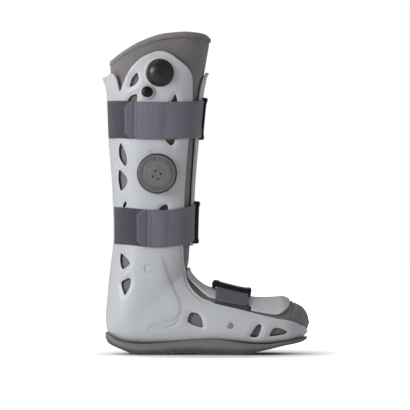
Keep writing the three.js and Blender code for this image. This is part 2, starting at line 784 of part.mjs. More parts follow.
function arcTable(place, lift) {
  const rows = [{ distance: 0, angle: 0 }];
  let last = liftedPoint(place, Math.PI, lift);
  for (let k = 1; k <= ARC_STEPS; k += 1) {
    const angle = (Math.PI * k) / ARC_STEPS;
    const point = liftedPoint(place, Math.PI - angle, lift);
    rows.push({ distance: rows.at(-1).distance + point.distanceTo(last), angle });
    last = point;
  }
  return rows;
}

// A strap's own frame: distance round the leg or foot, height across its width, and lift
class StrapRun {
  constructor(placeAt, shellLift) {
    this.placeAt = placeAt;
    this.place = placeAt(0);
    this.table = arcTable(this.place, shellLift);
    this.length = this.table.at(-1).distance;
  }

  distanceAtAngle(angle) {
    return lookUp(this.table, 'angle', Math.PI - angle, 'distance');
  }

  distanceAtShare(share, lift) {
    return this.distanceAtAngle(angleAtShare(this.place, share, lift));
  }

  point(distance, height, lift) {
    const turn = lookUp(this.table, 'distance', Math.abs(distance), 'angle');
    const angle = -Math.PI + Math.sign(distance) * turn;
    return liftedPoint(this.placeAt(height), angle, lift);
  }
}

// Adds points to a path so that no step is long
function divided(path) {
  const points = [path[0]];
  for (let k = 1; k < path.length; k += 1) {
    const steps = Math.ceil(Math.abs(path[k][0] - path[k - 1][0]) / STRAP_STEP) || 1;
    for (let s = 1; s <= steps; s += 1) {
      points.push([
        THREE.MathUtils.lerp(path[k - 1][0], path[k][0], s / steps),
        THREE.MathUtils.lerp(path[k - 1][1], path[k][1], s / steps),
      ]);
    }
  }
  return points;
}

// A strap swept along a path of distance and lift; chamfer narrows its first stretch
function ribbon(run, path, width, chamfer = 0) {
  const centres = divided(path).map(([distance, lift]) => new THREE.Vector2(distance, lift));
  const body = new Body();
  const rows = centres.map((centre, k) => {
    const before = centres[Math.max(k - 1, 0)];
    const after = centres[Math.min(k + 1, centres.length - 1)];
    const forward = after.clone().sub(before).normalize();
    const side = new THREE.Vector2(-forward.y, forward.x).multiplyScalar(STRAP_THICKNESS / 2);
    const fromEnd = Math.min(Math.abs(centre.x - centres[0].x), chamfer);
    const half = width / 2 - (chamfer - fromEnd);
    const corners = [];
    for (const sign of [1, -1]) {
      for (const level of [-1, 0, 1]) {
        const spot = centre.clone().addScaledVector(side, sign);
        corners.push(body.add(run.point(spot.x, level * half, spot.y)));
      }
    }
    return corners;
  });
  const loop = [0, 1, 2, 5, 4, 3];
  for (let k = 0; k < rows.length - 1; k += 1) {
    loop.forEach((corner, n) => {
      const next = loop[(n + 1) % loop.length];
      body.quad(rows[k][corner], rows[k][next], rows[k + 1][next], rows[k + 1][corner]);
    });
  }
  const first = rows[0];
  const end = rows.at(-1);
  body.quad(first[0], first[3], first[4], first[1]);
  body.quad(first[1], first[4], first[5], first[2]);
  body.quad(end[1], end[4], end[3], end[0]);
  body.quad(end[2], end[5], end[4], end[1]);
  return body.geometry();
}

// A block in a strap's frame: middle and half length round the leg, half height, and two lifts
function runBlock(run, middle, halfLength, halfHeight, low, high) {
  const columns = 4;
  const rows = 2;
  const grid = (lift) => Array.from({ length: rows + 1 }, (_, i) => (
    Array.from({ length: columns + 1 }, (__, j) => run.point(
      middle + halfLength * ((2 * j) / columns - 1),
      halfHeight * (1 - (2 * i) / rows),
      lift,
    ))
  ));
  return wall(grid(high), grid(low));
}

// A black bridge on a panel that one or more layers of strap pass under
function keeper(run, width, thickness, layers) {
  const under = PANEL_OUTER + 2 * STRAP_GAP + layers * LAYER - LAYER_GAP;
  const opening = width / 2 + STRAP_GAP;
  const foot = PANEL_OUTER + SEAT_GAP;
  const block = runBlock(run, 0, KEEPER_WIDTH / 2, opening + KEEPER_POST, foot, under + thickness);
  const through = KEEPER_WIDTH / 2 + CUT_MARGIN;
  const tunnel = runBlock(run, 0, through, opening, foot - CUT_MARGIN, under);
  return cut(block, [tunnel]);
}

const BEND = STRAP_THICKNESS;

// How far round from the front a leg strap's slot lies
function slotDistance(run) {
  const angle = solve((turn) => formPoint(run.place, turn).y, 0, Math.PI / 2, SLOT_HALF_SPACING);
  return run.distanceAtAngle(angle);
}

// An upright slot in the shell's back, where a leg strap passes inside
function slotBlock(run, side) {
  const halfHeight = STRAP_WIDTH / 2 + SLOT_END_ROOM;
  const middle = side * slotDistance(run);
  return runBlock(run, middle, SLOT_WIDTH / 2, halfHeight, SHELL_GAP / 2, SHELL_OUTER + SHELL_WALL);
}

// The path by which a strap end turns through the shell's slot and lies inside it
function slotTurn(run, level) {
  const slot = slotDistance(run);
  const inside = SHELL_GAP / 2;
  return [
    [slot - BEND, level],
    [slot, level - BEND],
    [slot, inside + BEND],
    [slot + BEND, inside],
    [slot + STRAP_TAIL, inside],
  ];
}

const mirrored = (path) => path.map(([distance, lift]) => [-distance, lift]);

// Lifts of a strap's middle over the shell, and over the panels
const ON_SHELL = SHELL_OUTER + STRAP_GAP + STRAP_THICKNESS / 2;
const ON_PANEL = PANEL_OUTER + STRAP_GAP + STRAP_THICKNESS / 2;
const LAYER = STRAP_THICKNESS + LAYER_GAP;
const STEP_DOWN = 8;

function legRun(row) {
  return new StrapRun((height) => placeAtHeight(legZ(row.up) + height), SHELL_OUTER);
}

// One leg strap: its band from the tab round the front to the inner slot, the tab, the loop patch
// from the outer slot, and the keeper
function legStrap(row) {
  const run = legRun(row);
  const upperLevel = ON_SHELL + LAYER;
  const free = run.distanceAtShare(row.freeEnd, upperLevel);
  const seam = run.distanceAtShare(row.seam, upperLevel);
  const patchEnd = run.distanceAtShare(row.patchEnd, ON_SHELL);
  const edge = run.distanceAtAngle(shellEdgeAngle(run.place));
  const flat = KEEPER_WIDTH / 2 + CUT_MARGIN;
  const band = [
    [seam, upperLevel],
    [patchEnd, upperLevel],
    [patchEnd - STEP_DOWN, ON_SHELL],
    [edge, ON_SHELL],
    [Math.min(flat, edge - CUT_MARGIN), ON_PANEL],
    [-Math.min(flat, edge - CUT_MARGIN), ON_PANEL],
    [-edge, ON_SHELL],
    ...mirrored(slotTurn(run, ON_SHELL)),
  ];
  const patch = [[patchEnd + CUT_MARGIN, ON_SHELL], ...slotTurn(run, ON_SHELL)];
  const tab = [[free, upperLevel], [seam + SEAT_GAP, upperLevel]];
  return {
    [`${row.name}_strap`]: [ribbon(run, band, STRAP_WIDTH), 'strap'],
    [`${row.name}_strap_tab`]: [ribbon(run, tab, STRAP_WIDTH, TAB_CHAMFER), 'tab'],
    [`${row.name}_loop_patch`]: [ribbon(run, patch, STRAP_WIDTH), 'patch'],
    [`${row.name}_keeper`]: [keeper(run, STRAP_WIDTH, row.keeper * KEEPER_THICKNESS, 1), 'black'],
  };
}

// The foot strap: riveted inside the shell on both sides, and closed over the instep
function footStrap(row) {
  const run = new StrapRun((height) => placeAlongFoot(footX(row.along) - height), PANEL_OUTER);
  const inside = SHELL_GAP / 2;
  const shellEdge = run.distanceAtAngle(shellEdgeAngle(run.place));
  const panelShare = lookUp(INSTEP_ROWS, 'past', run.place - INSTEP_ROW, 'edge');
  const panelEdge = run.distanceAtShare(panelShare, PANEL_OUTER);
  const anchor = run.distanceAtShare(row.anchor, 0);
  const free = run.distanceAtShare(row.freeEnd, ON_PANEL + LAYER);
  const climb = [
    [panelEdge, ON_PANEL],
    [shellEdge - BEND, inside],
    [anchor, inside],
  ];
  const band = [
    [FOOT_BAND_START, ON_PANEL + LAYER],
    [-FOOT_BAND_START, ON_PANEL],
    ...mirrored(climb),
  ];
  const patch = [[FOOT_PATCH_STOP, ON_PANEL], ...climb];
  const tab = [[free, ON_PANEL + LAYER], [FOOT_BAND_START + SEAT_GAP, ON_PANEL + LAYER]];
  return {
    foot_strap: [ribbon(run, band, FOOT_STRAP_WIDTH), 'strap'],
    foot_strap_tab: [ribbon(run, tab, FOOT_STRAP_WIDTH), 'tab'],
    foot_loop_patch: [ribbon(run, patch, FOOT_STRAP_WIDTH), 'patch'],
    foot_keeper: [keeper(run, FOOT_STRAP_WIDTH, row.keeper * KEEPER_THICKNESS, 2), 'black'],
  };
}

// How far out the shell's outer side stands at a spot in the side view
function sideReach(spot) {
  const place = spot.y > ANKLE_HEIGHT ? placeAtHeight(spot.y) : placeAlongFoot(spot.x);
  const level = spot.y > ANKLE_HEIGHT
    ? (angle) => liftedPoint(place, angle, SHELL_OUTER).x
    : (angle) => liftedPoint(place, angle, SHELL_OUTER).z;
  const angle = solve(level, 0, shellEdgeAngle(place), spot.y > ANKLE_HEIGHT ? spot.x : spot.y);
  return liftedPoint(place, angle, SHELL_OUTER).y;
}

// A turned piece on the outer side: profile rows of radius and distance out from the shell
function turned(spot, reach, profile, side = -1) {
  const points = profile.map(([radius, out]) => new THREE.Vector2(radius, out));
  const geometry = new THREE.LatheGeometry(points, ROUND_SIDES);
  if (side < 0) geometry.rotateX(Math.PI);
  geometry.translate(spot.x, side * reach, spot.y);
  return geometry;
}

// How far a seated piece is made to reach in before the shell's form cuts it
const SEAT_DEPTH = 9;
const BULB_STEPS = 5;
const BUTTON_STEPS = 3;
const RIVET_STEPS = 2;

// Profile of a round-topped button: flat end, straight rim, then a quarter ellipse
function domed(radius, low, rim, high, steps) {
  const profile = [[0, low], [radius, low], [radius, rim]];
  for (let k = 1; k < steps; k += 1) {
    const turn = (Math.PI / 2) * (k / steps);
    profile.push([radius * Math.cos(turn), rim + (high - rim) * Math.sin(turn)]);
  }
  profile.push([0, high]);
  return profile;
}

function dialPieces() {
  const spot = legSpot(DIAL_PLACE);
  const reach = sideReach(spot);
  const low = DIAL_BASE_PROUD + DIAL_CLEARANCE;
  const high = low + DIAL_THICKNESS;
  const base = turned(spot, reach, [
    [0, -SEAT_DEPTH],
    [DIAL_BASE_RADIUS, -SEAT_DEPTH],
    [DIAL_BASE_RADIUS, DIAL_BASE_PROUD],
    [0, DIAL_BASE_PROUD],
  ]);
  const dial = turned(spot, reach, [
    [0, low],
    [DIAL_RADIUS, low],
    [DIAL_RADIUS, high - DIAL_EDGE],
    [DIAL_RADIUS - DIAL_EDGE, high],
    [0, high],
  ]);
  return {
    dial_base: [cut(base, [seatForm()]), 'base'],
    selector_dial: [dial, 'dial'],
  };
}

function pumpBulb() {
  const spot = legSpot(BULB_PLACE);
  const profile = domed(BULB_RADIUS, -SEAT_DEPTH, BULB_RIM, BULB_HEIGHT, BULB_STEPS);
  return cut(turned(spot, sideReach(spot), profile), [seatForm()]);
}

function releasePieces() {
  const spot = legSpot(BUTTON_PLACE);
  const reach = sideReach(spot);
  const bore = BUTTON_RADIUS + BUTTON_CLEARANCE;
  const collar = turned(spot, reach, [
    [bore, -SEAT_DEPTH],
    [COLLAR_RADIUS, -SEAT_DEPTH],
    [COLLAR_RADIUS, COLLAR_PROUD],
    [bore, COLLAR_PROUD],
    [bore, -SEAT_DEPTH],
  ]);
  const low = BUTTON_FLOOR + BUTTON_TRAVEL;
  const profile = domed(BUTTON_RADIUS, low, low + BUTTON_RIM, low + BUTTON_HEIGHT, BUTTON_STEPS);
  const button = turned(spot, reach, profile);
  return {
    release_collar: [cut(collar, [seatForm()]), 'shell'],
    release_button: [button, 'black'],
  };
}

// The rivets that hold the foot strap's ends, one on each side
function rivet(side) {
  const spot = footSpot(RIVET_PLACE);
  const profile = domed(RIVET_RADIUS, -SEAT_DEPTH, RIVET_RIM, RIVET_PROUD, RIVET_STEPS);
  return cut(turned(spot, sideReach(spot), profile, side), [seatForm()]);
}

function pieces() {
  return {
    base_shell: [baseShell(), 'shell'],
    liner: [liner(), 'liner'],
    liner_binding: [linerBinding(), 'binding'],
    shin_panel: [shinPanel(), 'shell'],
    instep_panel: [instepPanel(), 'shell'],
    rocker_sole: [rockerSole(), 'sole'],
    ...LEG_STRAPS.map(legStrap).reduce((all, some) => ({ ...all, ...some })),
    ...footStrap(FOOT_STRAP),
    ...dialPieces(),
    pump_bulb: [pumpBulb(), 'black'],
    ...releasePieces(),
    rivet_outer: [rivet(-1), 'metal'],
    rivet_inner: [rivet(1), 'metal'],
  };
}

const boot = new THREE.Group();
for (const [name, [geometry, finish]] of Object.entries(pieces())) {
  const mesh = new THREE.Mesh(geometry, MATERIALS[finish].clone());
  mesh.name = name;
  boot.add(mesh);
}

export default boot;
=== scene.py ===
"""Looks of the medical walking boot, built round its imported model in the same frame."""

import math

import bmesh
import bpy
import numpy as np
from mathutils import Matrix, Vector
from mathutils.bvhtree import BVHTree
from mathutils.geometry import delaunay_2d_cdt
from mathutils.kdtree import KDTree


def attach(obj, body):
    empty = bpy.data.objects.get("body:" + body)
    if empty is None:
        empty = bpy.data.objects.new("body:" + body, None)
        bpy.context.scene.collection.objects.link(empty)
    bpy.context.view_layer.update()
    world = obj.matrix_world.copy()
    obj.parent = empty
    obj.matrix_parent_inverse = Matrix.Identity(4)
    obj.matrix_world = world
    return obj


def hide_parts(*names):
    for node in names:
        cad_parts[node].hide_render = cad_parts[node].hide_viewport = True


bl_info = {
    "name": "Medical walking boot",
    "version": (1, 0, 0),
    "blender": (4, 5, 0),
    "location": "View3D > Sidebar > Walking boot",
    "description": "Builds the shell, liner, straps, sole and air hardware of a walking boot",
    "category": "Object",
}

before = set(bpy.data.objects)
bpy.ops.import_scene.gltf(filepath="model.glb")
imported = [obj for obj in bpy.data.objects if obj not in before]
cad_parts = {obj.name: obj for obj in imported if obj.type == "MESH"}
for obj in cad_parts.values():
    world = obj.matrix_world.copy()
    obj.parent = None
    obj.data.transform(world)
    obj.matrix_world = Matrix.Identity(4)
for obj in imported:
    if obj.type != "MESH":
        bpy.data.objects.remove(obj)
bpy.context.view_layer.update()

# Sizes in millimetres, the same as the model's
MM = 0.001
FOOT_LENGTH, FOOT_WIDTH, HEEL_BACK = 267.0, 100.0, 53.3
ANKLE_HEIGHT, LEG_HEIGHT = 151.0, 289.0
CALF_DEPTH, CALF_WIDTH = 134.0, 124.0
LINER_WALL, BINDING_DEPTH = 7.0, 7.7
SHELL_GAP, SHELL_OUTER = 3.2, 6.2
PANEL_GAP, PANEL_OUTER, PANEL_FLARE = 1.05, 3.6, 1.7
SOLE_HEIGHT, SOLE_WIDTH, TREAD_INSET = 30.0, 103.0, 3.0
STRAP_WIDTH, FOOT_STRAP_WIDTH, STRAP_THICKNESS, TAB_CHAMFER = 50.0, 46.0, 1.6, 7.0
FOOT_CHAMFER = 4.0
SLOT_WIDTH, SLOT_HALF_SPACING, SLOT_END_ROOM, STRAP_TAIL = 4.4, 21.0, 2.0, 9.0
KEEPER_WIDTH, KEEPER_POST, KEEPER_THICKNESS = 26.0, 3.0, 3.2
STRAP_GAP, LAYER_GAP, SEAT_GAP = 0.6, 0.4, 0.3
ON_SHELL = SHELL_OUTER + STRAP_GAP + STRAP_THICKNESS / 2
ON_PANEL = PANEL_OUTER + STRAP_GAP + STRAP_THICKNESS / 2
LAYER = STRAP_THICKNESS + LAYER_GAP
DIAL_THICKNESS, DIAL_RIM, DIAL_SEAT = 8.0, 27.0, 24.0
DIAL_BASE_PROUD, DIAL_CLEARANCE = 3.4, 0.4
BULB_RADIUS, BULB_HEIGHT = 18.7, 11.0
BUTTON_RADIUS, BUTTON_HEIGHT, BUTTON_TRAVEL, BUTTON_FLOOR = 6.9, 5.2, 1.8, 0.8
COLLAR_RADIUS, COLLAR_PROUD, BUTTON_CLEARANCE = 9.4, 3.4, 0.4
RIVET_RADIUS, RIVET_PROUD = 4.1, 1.8
SEAT_SINK, DOT_SINK = 0.4, 0.05
WINDOW_GROWTH, FOOT_TAB_PAST, FOOT_DOTS_END, FOOT_KEEPER_LOBE = 0.9, 3.2, 14.5, 5.0

# Leg sections from the top down: height, rear, depth, width and shell edge as shares
LEG_ROWS = [
    (1.0, -0.416, 1.011, 0.97, 0.93),
    (0.92, -0.414, 1.001, 0.98, 0.93),
    (0.794, -0.413, 0.954, 1.0, 0.93),
    (0.664, -0.402, 0.893, 0.985, 0.92),
    (0.477, -0.386, 0.838, 0.94, 0.91),
    (0.29, -0.354, 0.772, 0.89, 0.903),
    (0.126, -0.339, 0.74, 0.82, 0.893),
    (0.0, -0.339, 0.733, 0.76, 0.873),
]
# Foot sections: heel x, heel z, top x, top z, width, widest point, squareness and shell edge
FOOT_ROWS = [
    (0.018, 0.821, 0.394, 0.928, 0.92, 0.48, 2.45, 0.887),
    (0.006, 0.651, 0.391, 0.866, 0.91, 0.46, 2.45, 0.897),
    (-0.003, 0.482, 0.386, 0.821, 0.9, 0.44, 2.5, 0.92),
    (-0.009, 0.348, 0.383, 0.794, 0.89, 0.42, 2.6, 0.935),
    (0.0, 0.213, 0.381, 0.776, 0.88, 0.4, 2.8, 0.945),
    (0.051, 0.142, 0.382, 0.759, 0.87, 0.38, 3.2, 0.945),
    (0.142, 0.124, 0.389, 0.727, 0.87, 0.36, 3.8, 0.92),
    (0.243, 0.124, 0.405, 0.687, 0.87, 0.35, 4.0, 0.87),
    (0.344, 0.133, 0.43, 0.642, 0.875, 0.35, 4.0, 0.81),
    (0.445, 0.147, 0.475, 0.589, 0.9, 0.35, 4.0, 0.75),
    (0.546, 0.151, 0.546, 0.553, 0.95, 0.35, 4.0, 0.745),
    (0.647, 0.138, 0.637, 0.514, 0.99, 0.36, 4.0, 0.727),
    (0.748, 0.124, 0.733, 0.486, 1.0, 0.37, 3.8, 0.67),
    (0.824, 0.129, 0.819, 0.489, 0.97, 0.38, 3.4, 0.56),
    (0.89, 0.142, 0.89, 0.481, 0.88, 0.4, 3.0, 0.49),
    (0.935, 0.16, 0.935, 0.452, 0.74, 0.43, 2.8, 0.4),
    (0.966, 0.187, 0.968, 0.415, 0.57, 0.46, 2.5, 0.22),
    (0.988, 0.227, 0.988, 0.357, 0.34, 0.5, 2.3, 0.08),
    (0.999, 0.285, 0.999, 0.285, 0.0, 0.5, 2.3, 0.05),
]
LEG_MIDDLE, LEG_POWER, TOP_POWER = 0.5, 2.45, 2.3
ANKLE_ROW = len(LEG_ROWS) - 1
TOE_ROW = len(LEG_ROWS) + len(FOOT_ROWS) - 1
INSTEP_ROW = ANKLE_ROW + 5
REAR_TAB = [
    (-0.3, 0.765), (-0.093, 0.765), (-0.008, 0.785), (0.017, 0.787), (0.04, 0.78),
    (0.066, 0.756), (0.078, 0.73), (0.09, 0.706),
]
WING_EDGE = [
    (0.097, 0.703), (0.112, 0.716), (0.136, 0.742), (0.196, 0.798), (0.28, 0.844),
    (0.371, 0.873), (0.506, 0.892), (0.62, 0.877), (0.716, 0.848), (0.809, 0.816),
    (0.862, 0.784), (0.895, 0.741), (0.917, 0.665),
]
FLARE_FROM, FLARE_TO, FLARE_REACH, FLARE_CURVE = 0.7, 0.785, 0.057, 1.5
LINER_TOP = [
    (0.0, 0.85), (0.119, 0.89), (0.259, 0.929), (0.4, 0.956), (0.525, 0.973),
    (0.714, 0.982), (0.828, 0.981), (0.95, 0.972), (1.0, 0.956),
]
SHIN_ROWS = [
    (0.792, 0.09, 1.0), (0.784, 0.155, 0.53), (0.768, 0.2, 0.06), (0.735, 0.23, 0.0),
    (0.66, 0.235, 0.0), (0.56, 0.222, 0.0), (0.45, 0.205, 0.0), (0.34, 0.193, 0.0),
    (0.23, 0.187, 0.0), (0.12, 0.182, 0.0), (0.02, 0.175, 0.0), (-0.02, 0.14, 0.0),
]
INSTEP_ROWS = [
    (0.1, 0.992), (0.5, 0.975), (1.0, 0.965), (2.0, 0.945), (4.0, 0.925), (5.0, 0.875),
    (5.5, 0.83), (7.5, 0.82), (7.62, 0.73), (8.0, 0.7), (8.6, 0.655), (9.0, 0.63),
    (9.35, 0.65), (9.75, 0.75), (10.0, 0.86), (10.1, 0.95),
]
# Sole sections: along the foot, bottom, top and width as shares
SOLE_ROWS = [
    (-0.034, 0.72, 1.0, 0.34), (-0.022, 0.55, 0.98, 0.5), (0.0, 0.42, 0.84, 0.66),
    (0.035, 0.29, 0.66, 0.78), (0.106, 0.06, 0.53, 0.86), (0.157, 0.0, 0.5, 0.88),
    (0.243, 0.0, 0.54, 0.875), (0.33, 0.07, 0.61, 0.86), (0.42, 0.07, 0.69, 0.87),
    (0.505, 0.0, 0.72, 0.91), (0.64, 0.0, 0.57, 0.985), (0.7, 0.08, 0.51, 1.0),
    (0.775, 0.22, 0.49, 0.99), (0.87, 0.41, 0.6, 0.88), (0.935, 0.52, 0.7, 0.7),
    (0.966, 0.6, 0.75, 0.55), (0.986, 0.69, 0.8, 0.38),
]
# Windows in the shell's sides: corners as (x, z) in millimetres, seen from the side
WINDOWS = {
    "wing": [(-19, 379), (-17.5, 371), (-22, 364), (-30, 360), (-27, 369), (-22, 377)],
    "calf": [(-19, 350.5), (-20, 341), (-26, 322), (-29, 300), (-31, 289), (-33, 300),
             (-33.5, 325), (-32, 343), (-27, 348)],
    "front_upper": [(33.5, 351), (36, 340), (35, 322), (30, 312), (26, 322), (27.5, 340)],
    "front_middle": [(17, 300), (24, 306), (32, 300), (31.5, 285), (27, 282), (21, 288)],
    "rear_upper": [(-42.5, 285.5), (-37, 275), (-33.5, 262), (-35.5, 254.5), (-39, 257),
                   (-43.5, 265), (-45, 276)],
    "rear_middle": [(-45, 249.5), (-36, 241), (-33.5, 235), (-35.5, 228), (-42, 221),
                    (-44, 225), (-45.5, 238)],
    "rear_small": [(-36.2, 206.5), (-34.6, 204.5), (-37, 198.5), (-39.6, 199.5)],
    "front_lower": [(22.5, 202), (23, 190), (19, 168), (14, 152), (10, 160), (9, 180),
                    (11, 196), (16, 201)],
    "heel_upper": [(-42.5, 136.5), (-39, 134.5), (-30, 124.5), (-31.5, 121.5), (-39, 116),
                   (-41.5, 119), (-43, 130)],
    "heel_lower": [(-41.5, 98), (-31.5, 103.5), (-28, 101), (-31, 90), (-36, 80.5),
                   (-38.5, 87)],
    "instep": [(49.3, 49), (53.5, 57.5), (62.5, 55.8), (66.7, 49.5), (69.5, 37.3),
               (61, 39.3), (51, 44)],
    "toe_slim": [(143, 41.5), (147.8, 40.5), (146.5, 34), (142.5, 23.5), (134, 23.5),
                 (133, 26), (138, 34)],
    "toe_long": [(165, 36.7), (174.5, 35.3), (182, 31.5), (182.5, 29), (180, 27.5),
                 (160.5, 24), (160, 27)],
}
# Straps: height, free end, seam, loop patch end across the side, keeper thickness
LEG_STRAPS = {
    "upper": (0.573, 0.15, 0.255, 0.55, 1.0),
    "lower": (0.08, 0.264, 0.408, 0.62, 1.375),
}
FOOT_STRAP_ALONG, FOOT_ANCHOR, FOOT_FREE, FOOT_KEEPER = 0.605, 0.3, 0.775, 1.875
FOOT_BAND_START, FOOT_PATCH_STOP, STEP_DOWN, CUT_MARGIN = 9.0, 16.0, 8.0, 1.0
DIAL_PLACE, BULB_PLACE, BUTTON_PLACE = (0.534, 0.323), (0.526, 0.79), (0.405, 0.702)
RIVET_PLACE = (0.596, 0.266)
SHELL_TOE_FROM, SHELL_TOE_END = 23.4, 24.66
LIP_WIDTH = 3.4
# How much closer the shell lies at the toe's sides
TOE_PULL = 3.2


def smooth(low, high, value):
    t = np.clip((np.asarray(value, float) - low) / (high - low), 0, 1)
    return t * t * (3 - 2 * t)


def foot_x(share):
    return -HEEL_BACK + share * FOOT_LENGTH


def leg_z(share):
    return ANKLE_HEIGHT + share * LEG_HEIGHT


def form_sections():
    rows = []
    for up, rear, depth, width, edge in LEG_ROWS:
        back, front, z = rear * CALF_DEPTH, (rear + depth) * CALF_DEPTH, leg_z(up)
        half = width * CALF_WIDTH / 2
        rows.append((back, z, front, z, half, LEG_MIDDLE, LEG_POWER, LEG_POWER, edge))
    for heel_x, heel_z, top_x, top_z, width, middle, power, edge in FOOT_ROWS:
        rows.append((foot_x(heel_x), heel_z * ANKLE_HEIGHT, foot_x(top_x), top_z * ANKLE_HEIGHT,
                     width * FOOT_WIDTH / 2, middle, power, TOP_POWER, edge))
    return np.array(rows)


SECTIONS = form_sections()


def section(place):
    """Smooth sections between the listed ones, for any array of places"""
    place = np.clip(np.asarray(place, float), 0, TOE_ROW)
    index = np.minimum(place.astype(int), TOE_ROW - 1)
    t = (place - index)[..., None]
    rows = [SECTIONS[np.clip(index + k, 0, TOE_ROW)] for k in (-1, 0, 1, 2)]
    weights = (((2 - t) * t - 1) * t, (3 * t - 5) * t * t + 2, ((4 - 3 * t) * t + 1) * t,
               (t - 1) * t * t)
    return sum(row * weight for row, weight in zip(rows, weights)) / 2


def form(place, angle):
    """Points of the boot's form: angle 0 at the back or sole, half a turn at the front"""
    place, angle = np.broadcast_arrays(np.asarray(place, float), np.asarray(angle, float))
    s = section(place)
    cosine, sine = np.cos(angle), np.sin(angle)
    power = np.where(cosine > 0, s[..., 6], s[..., 7])
    reach = np.abs(cosine) ** (2 / power)
    middle = s[..., 5]
    depth = np.where(cosine > 0, middle * (1 - reach), middle + (1 - middle) * reach)
    return np.stack([
        s[..., 0] + depth * (s[..., 2] - s[..., 0]),
        s[..., 4] * np.sign(sine) * np.abs(sine) ** (2 / power),
        s[..., 1] + depth * (s[..., 3] - s[..., 1]),
    ], -1)


def unit(vectors):
    return vectors / np.maximum(np.linalg.norm(vectors, axis=-1, keepdims=True), 1e-12)


def form_normal(place, angle):
    place, angle = np.broadcast_arrays(np.asarray(place, float), np.asarray(angle, float))
    down = form(np.minimum(place + 0.04, TOE_ROW - 0.04), angle)
    down = down - form(np.maximum(place - 0.04, 0), angle)
    across = form(place, angle + 0.02) - form(place, angle - 0.02)
    return unit(np.cross(across, down))


def lifted(place, angle, lift):
    return form(place, angle) + form_normal(place, angle) * np.asarray(lift, float)[..., None]


def shell_surface(place, angle, lift):
    """Like lifted, with the lip that turns outward on the shell's rear tab"""
    pull = TOE_PULL * smooth(21.6, 23.4, place) * np.maximum(
        smooth(0.25, 0.85, np.abs(angle)), smooth(23.5, 24.2, place))
    points = lifted(place, angle, lift - pull)
    rise = (points[..., 2] - leg_z(FLARE_FROM)) / (leg_z(FLARE_TO) - leg_z(FLARE_FROM))
    back = np.maximum(np.cos(angle), 0) ** 2
    points[..., 0] -= FLARE_REACH * CALF_DEPTH * back * np.maximum(rise, 0) ** FLARE_CURVE
    return points


def on_shell(loop, lift=SHELL_OUTER):
    """Points of the shell's surface for rows of (angle, place)"""
    return shell_surface(loop[:, 1], loop[:, 0], lift)


def solve(rising, low, high, target):
    """Where rising functions reach the target, by halving, for arrays"""
    target = np.asarray(target, float)
    low = np.full(target.shape, float(low))
    high = np.full(target.shape, float(high))
    for _ in range(40):
        middle = (low + high) / 2
        below = rising(middle) < target
        low, high = np.where(below, middle, low), np.where(below, high, middle)
    return (low + high) / 2


def place_at_height(height):
    return solve(lambda p: -(section(p)[..., 1] + section(p)[..., 3]) / 2, 0, ANKLE_ROW + 1,
                 -np.asarray(height, float))


def place_along_foot(x):
    return solve(lambda p: (section(p)[..., 0] + section(p)[..., 2]) / 2, INSTEP_ROW, TOE_ROW, x)


def share_across(place, angle, lift):
    s = section(place)
    depth_x, depth_z = s[..., 2] - s[..., 0], s[..., 3] - s[..., 1]
    point = lifted(place, angle, lift)
    along = (point[..., 0] - s[..., 0]) * depth_x + (point[..., 2] - s[..., 1]) * depth_z
    return along / (depth_x ** 2 + depth_z ** 2)


def angle_at_share(place, share, lift):
    place = np.asarray(place, float)
    return solve(lambda a: share_across(place, a, lift), 0, math.pi, share)


def leg_spot(across, up):
    z = leg_z(np.asarray(up, float))
    s = section(place_at_height(z))
    return np.stack([s[..., 0] + np.asarray(across) * (s[..., 2] - s[..., 0]), z], -1)


SEED_PLACES, SEED_ANGLES = np.meshgrid(np.arange(0, 25.5, 0.2), np.linspace(0.06, 3.0, 60),
                                       indexing="ij")


def side_to_form(spots, lift=SHELL_OUTER):
    """(angle, place) on the boot's side for spots (x, z) of the side view"""
    spots = np.asarray(spots, float).reshape(-1, 2)
    seeds = shell_surface(SEED_PLACES, SEED_ANGLES, lift)[..., [0, 2]].reshape(-1, 2)
    near = np.array([np.argmin(((seeds - spot) ** 2).sum(1)) for spot in spots])
    place, angle = SEED_PLACES.ravel()[near], SEED_ANGLES.ravel()[near]
    for _ in range(14):
        here = shell_surface(place, angle, lift)[:, [0, 2]]
        by_place = (shell_surface(place + 0.01, angle, lift)[:, [0, 2]] - here) / 0.01
        by_angle = (shell_surface(place, angle + 0.005, lift)[:, [0, 2]] - here) / 0.005
        miss = spots - here
        det = by_place[:, 0] * by_angle[:, 1] - by_place[:, 1] * by_angle[:, 0]
        det = np.where(np.abs(det) < 1e-6, 1e-6, det)
        step_p = (miss[:, 0] * by_angle[:, 1] - miss[:, 1] * by_angle[:, 0]) / det
        step_a = (by_place[:, 0] * miss[:, 1] - by_place[:, 1] * miss[:, 0]) / det
        place = np.clip(place + np.clip(step_p, -0.3, 0.3), 0, TOE_ROW - 0.1)
        angle = np.clip(angle + np.clip(step_a, -0.12, 0.12), 0.01, 3.1)
    return np.stack([angle, place], 1)


def shell_depth(spots):
    """How far out the shell's side stands at spots of the side view"""
    return on_shell(side_to_form(spots))[:, 1]


def travelled(line):
    """The distance covered at each point of a line"""
    return np.concatenate([[0], np.cumsum(np.linalg.norm(np.diff(line, axis=0), axis=1))])


def circle(count):
    """Points round a circle of radius one"""
    turn = np.linspace(0, 2 * math.pi, count, endpoint=False)
    return np.stack([np.cos(turn), np.sin(turn)], 1)


def resample(line, step, closed=False):
    """Points at even steps along a line of any dimension"""
    line = np.asarray(line, float)
    if closed:
        line = np.vstack([line, line[:1]])
    lengths = travelled(line)
    count = max(int(round(lengths[-1] / step)), 3)
    at = np.linspace(0, lengths[-1], count + 1)
    points = np.stack([np.interp(at, lengths, line[:, k]) for k in range(line.shape[1])], 1)
    return points[:-1] if closed else points


def rounded(corners, times=3, first=0.14):
    """A closed outline with its corners cut smooth, the first cut the smallest"""
    line = np.asarray(corners, float)
    for k in range(times):
        cut = first if k == 0 else 0.25
        after = np.roll(line, -1, axis=0)
        line = np.stack([line * (1 - cut) + after * cut, line * cut + after * (1 - cut)],
                        1).reshape(-1, 2)
    return line


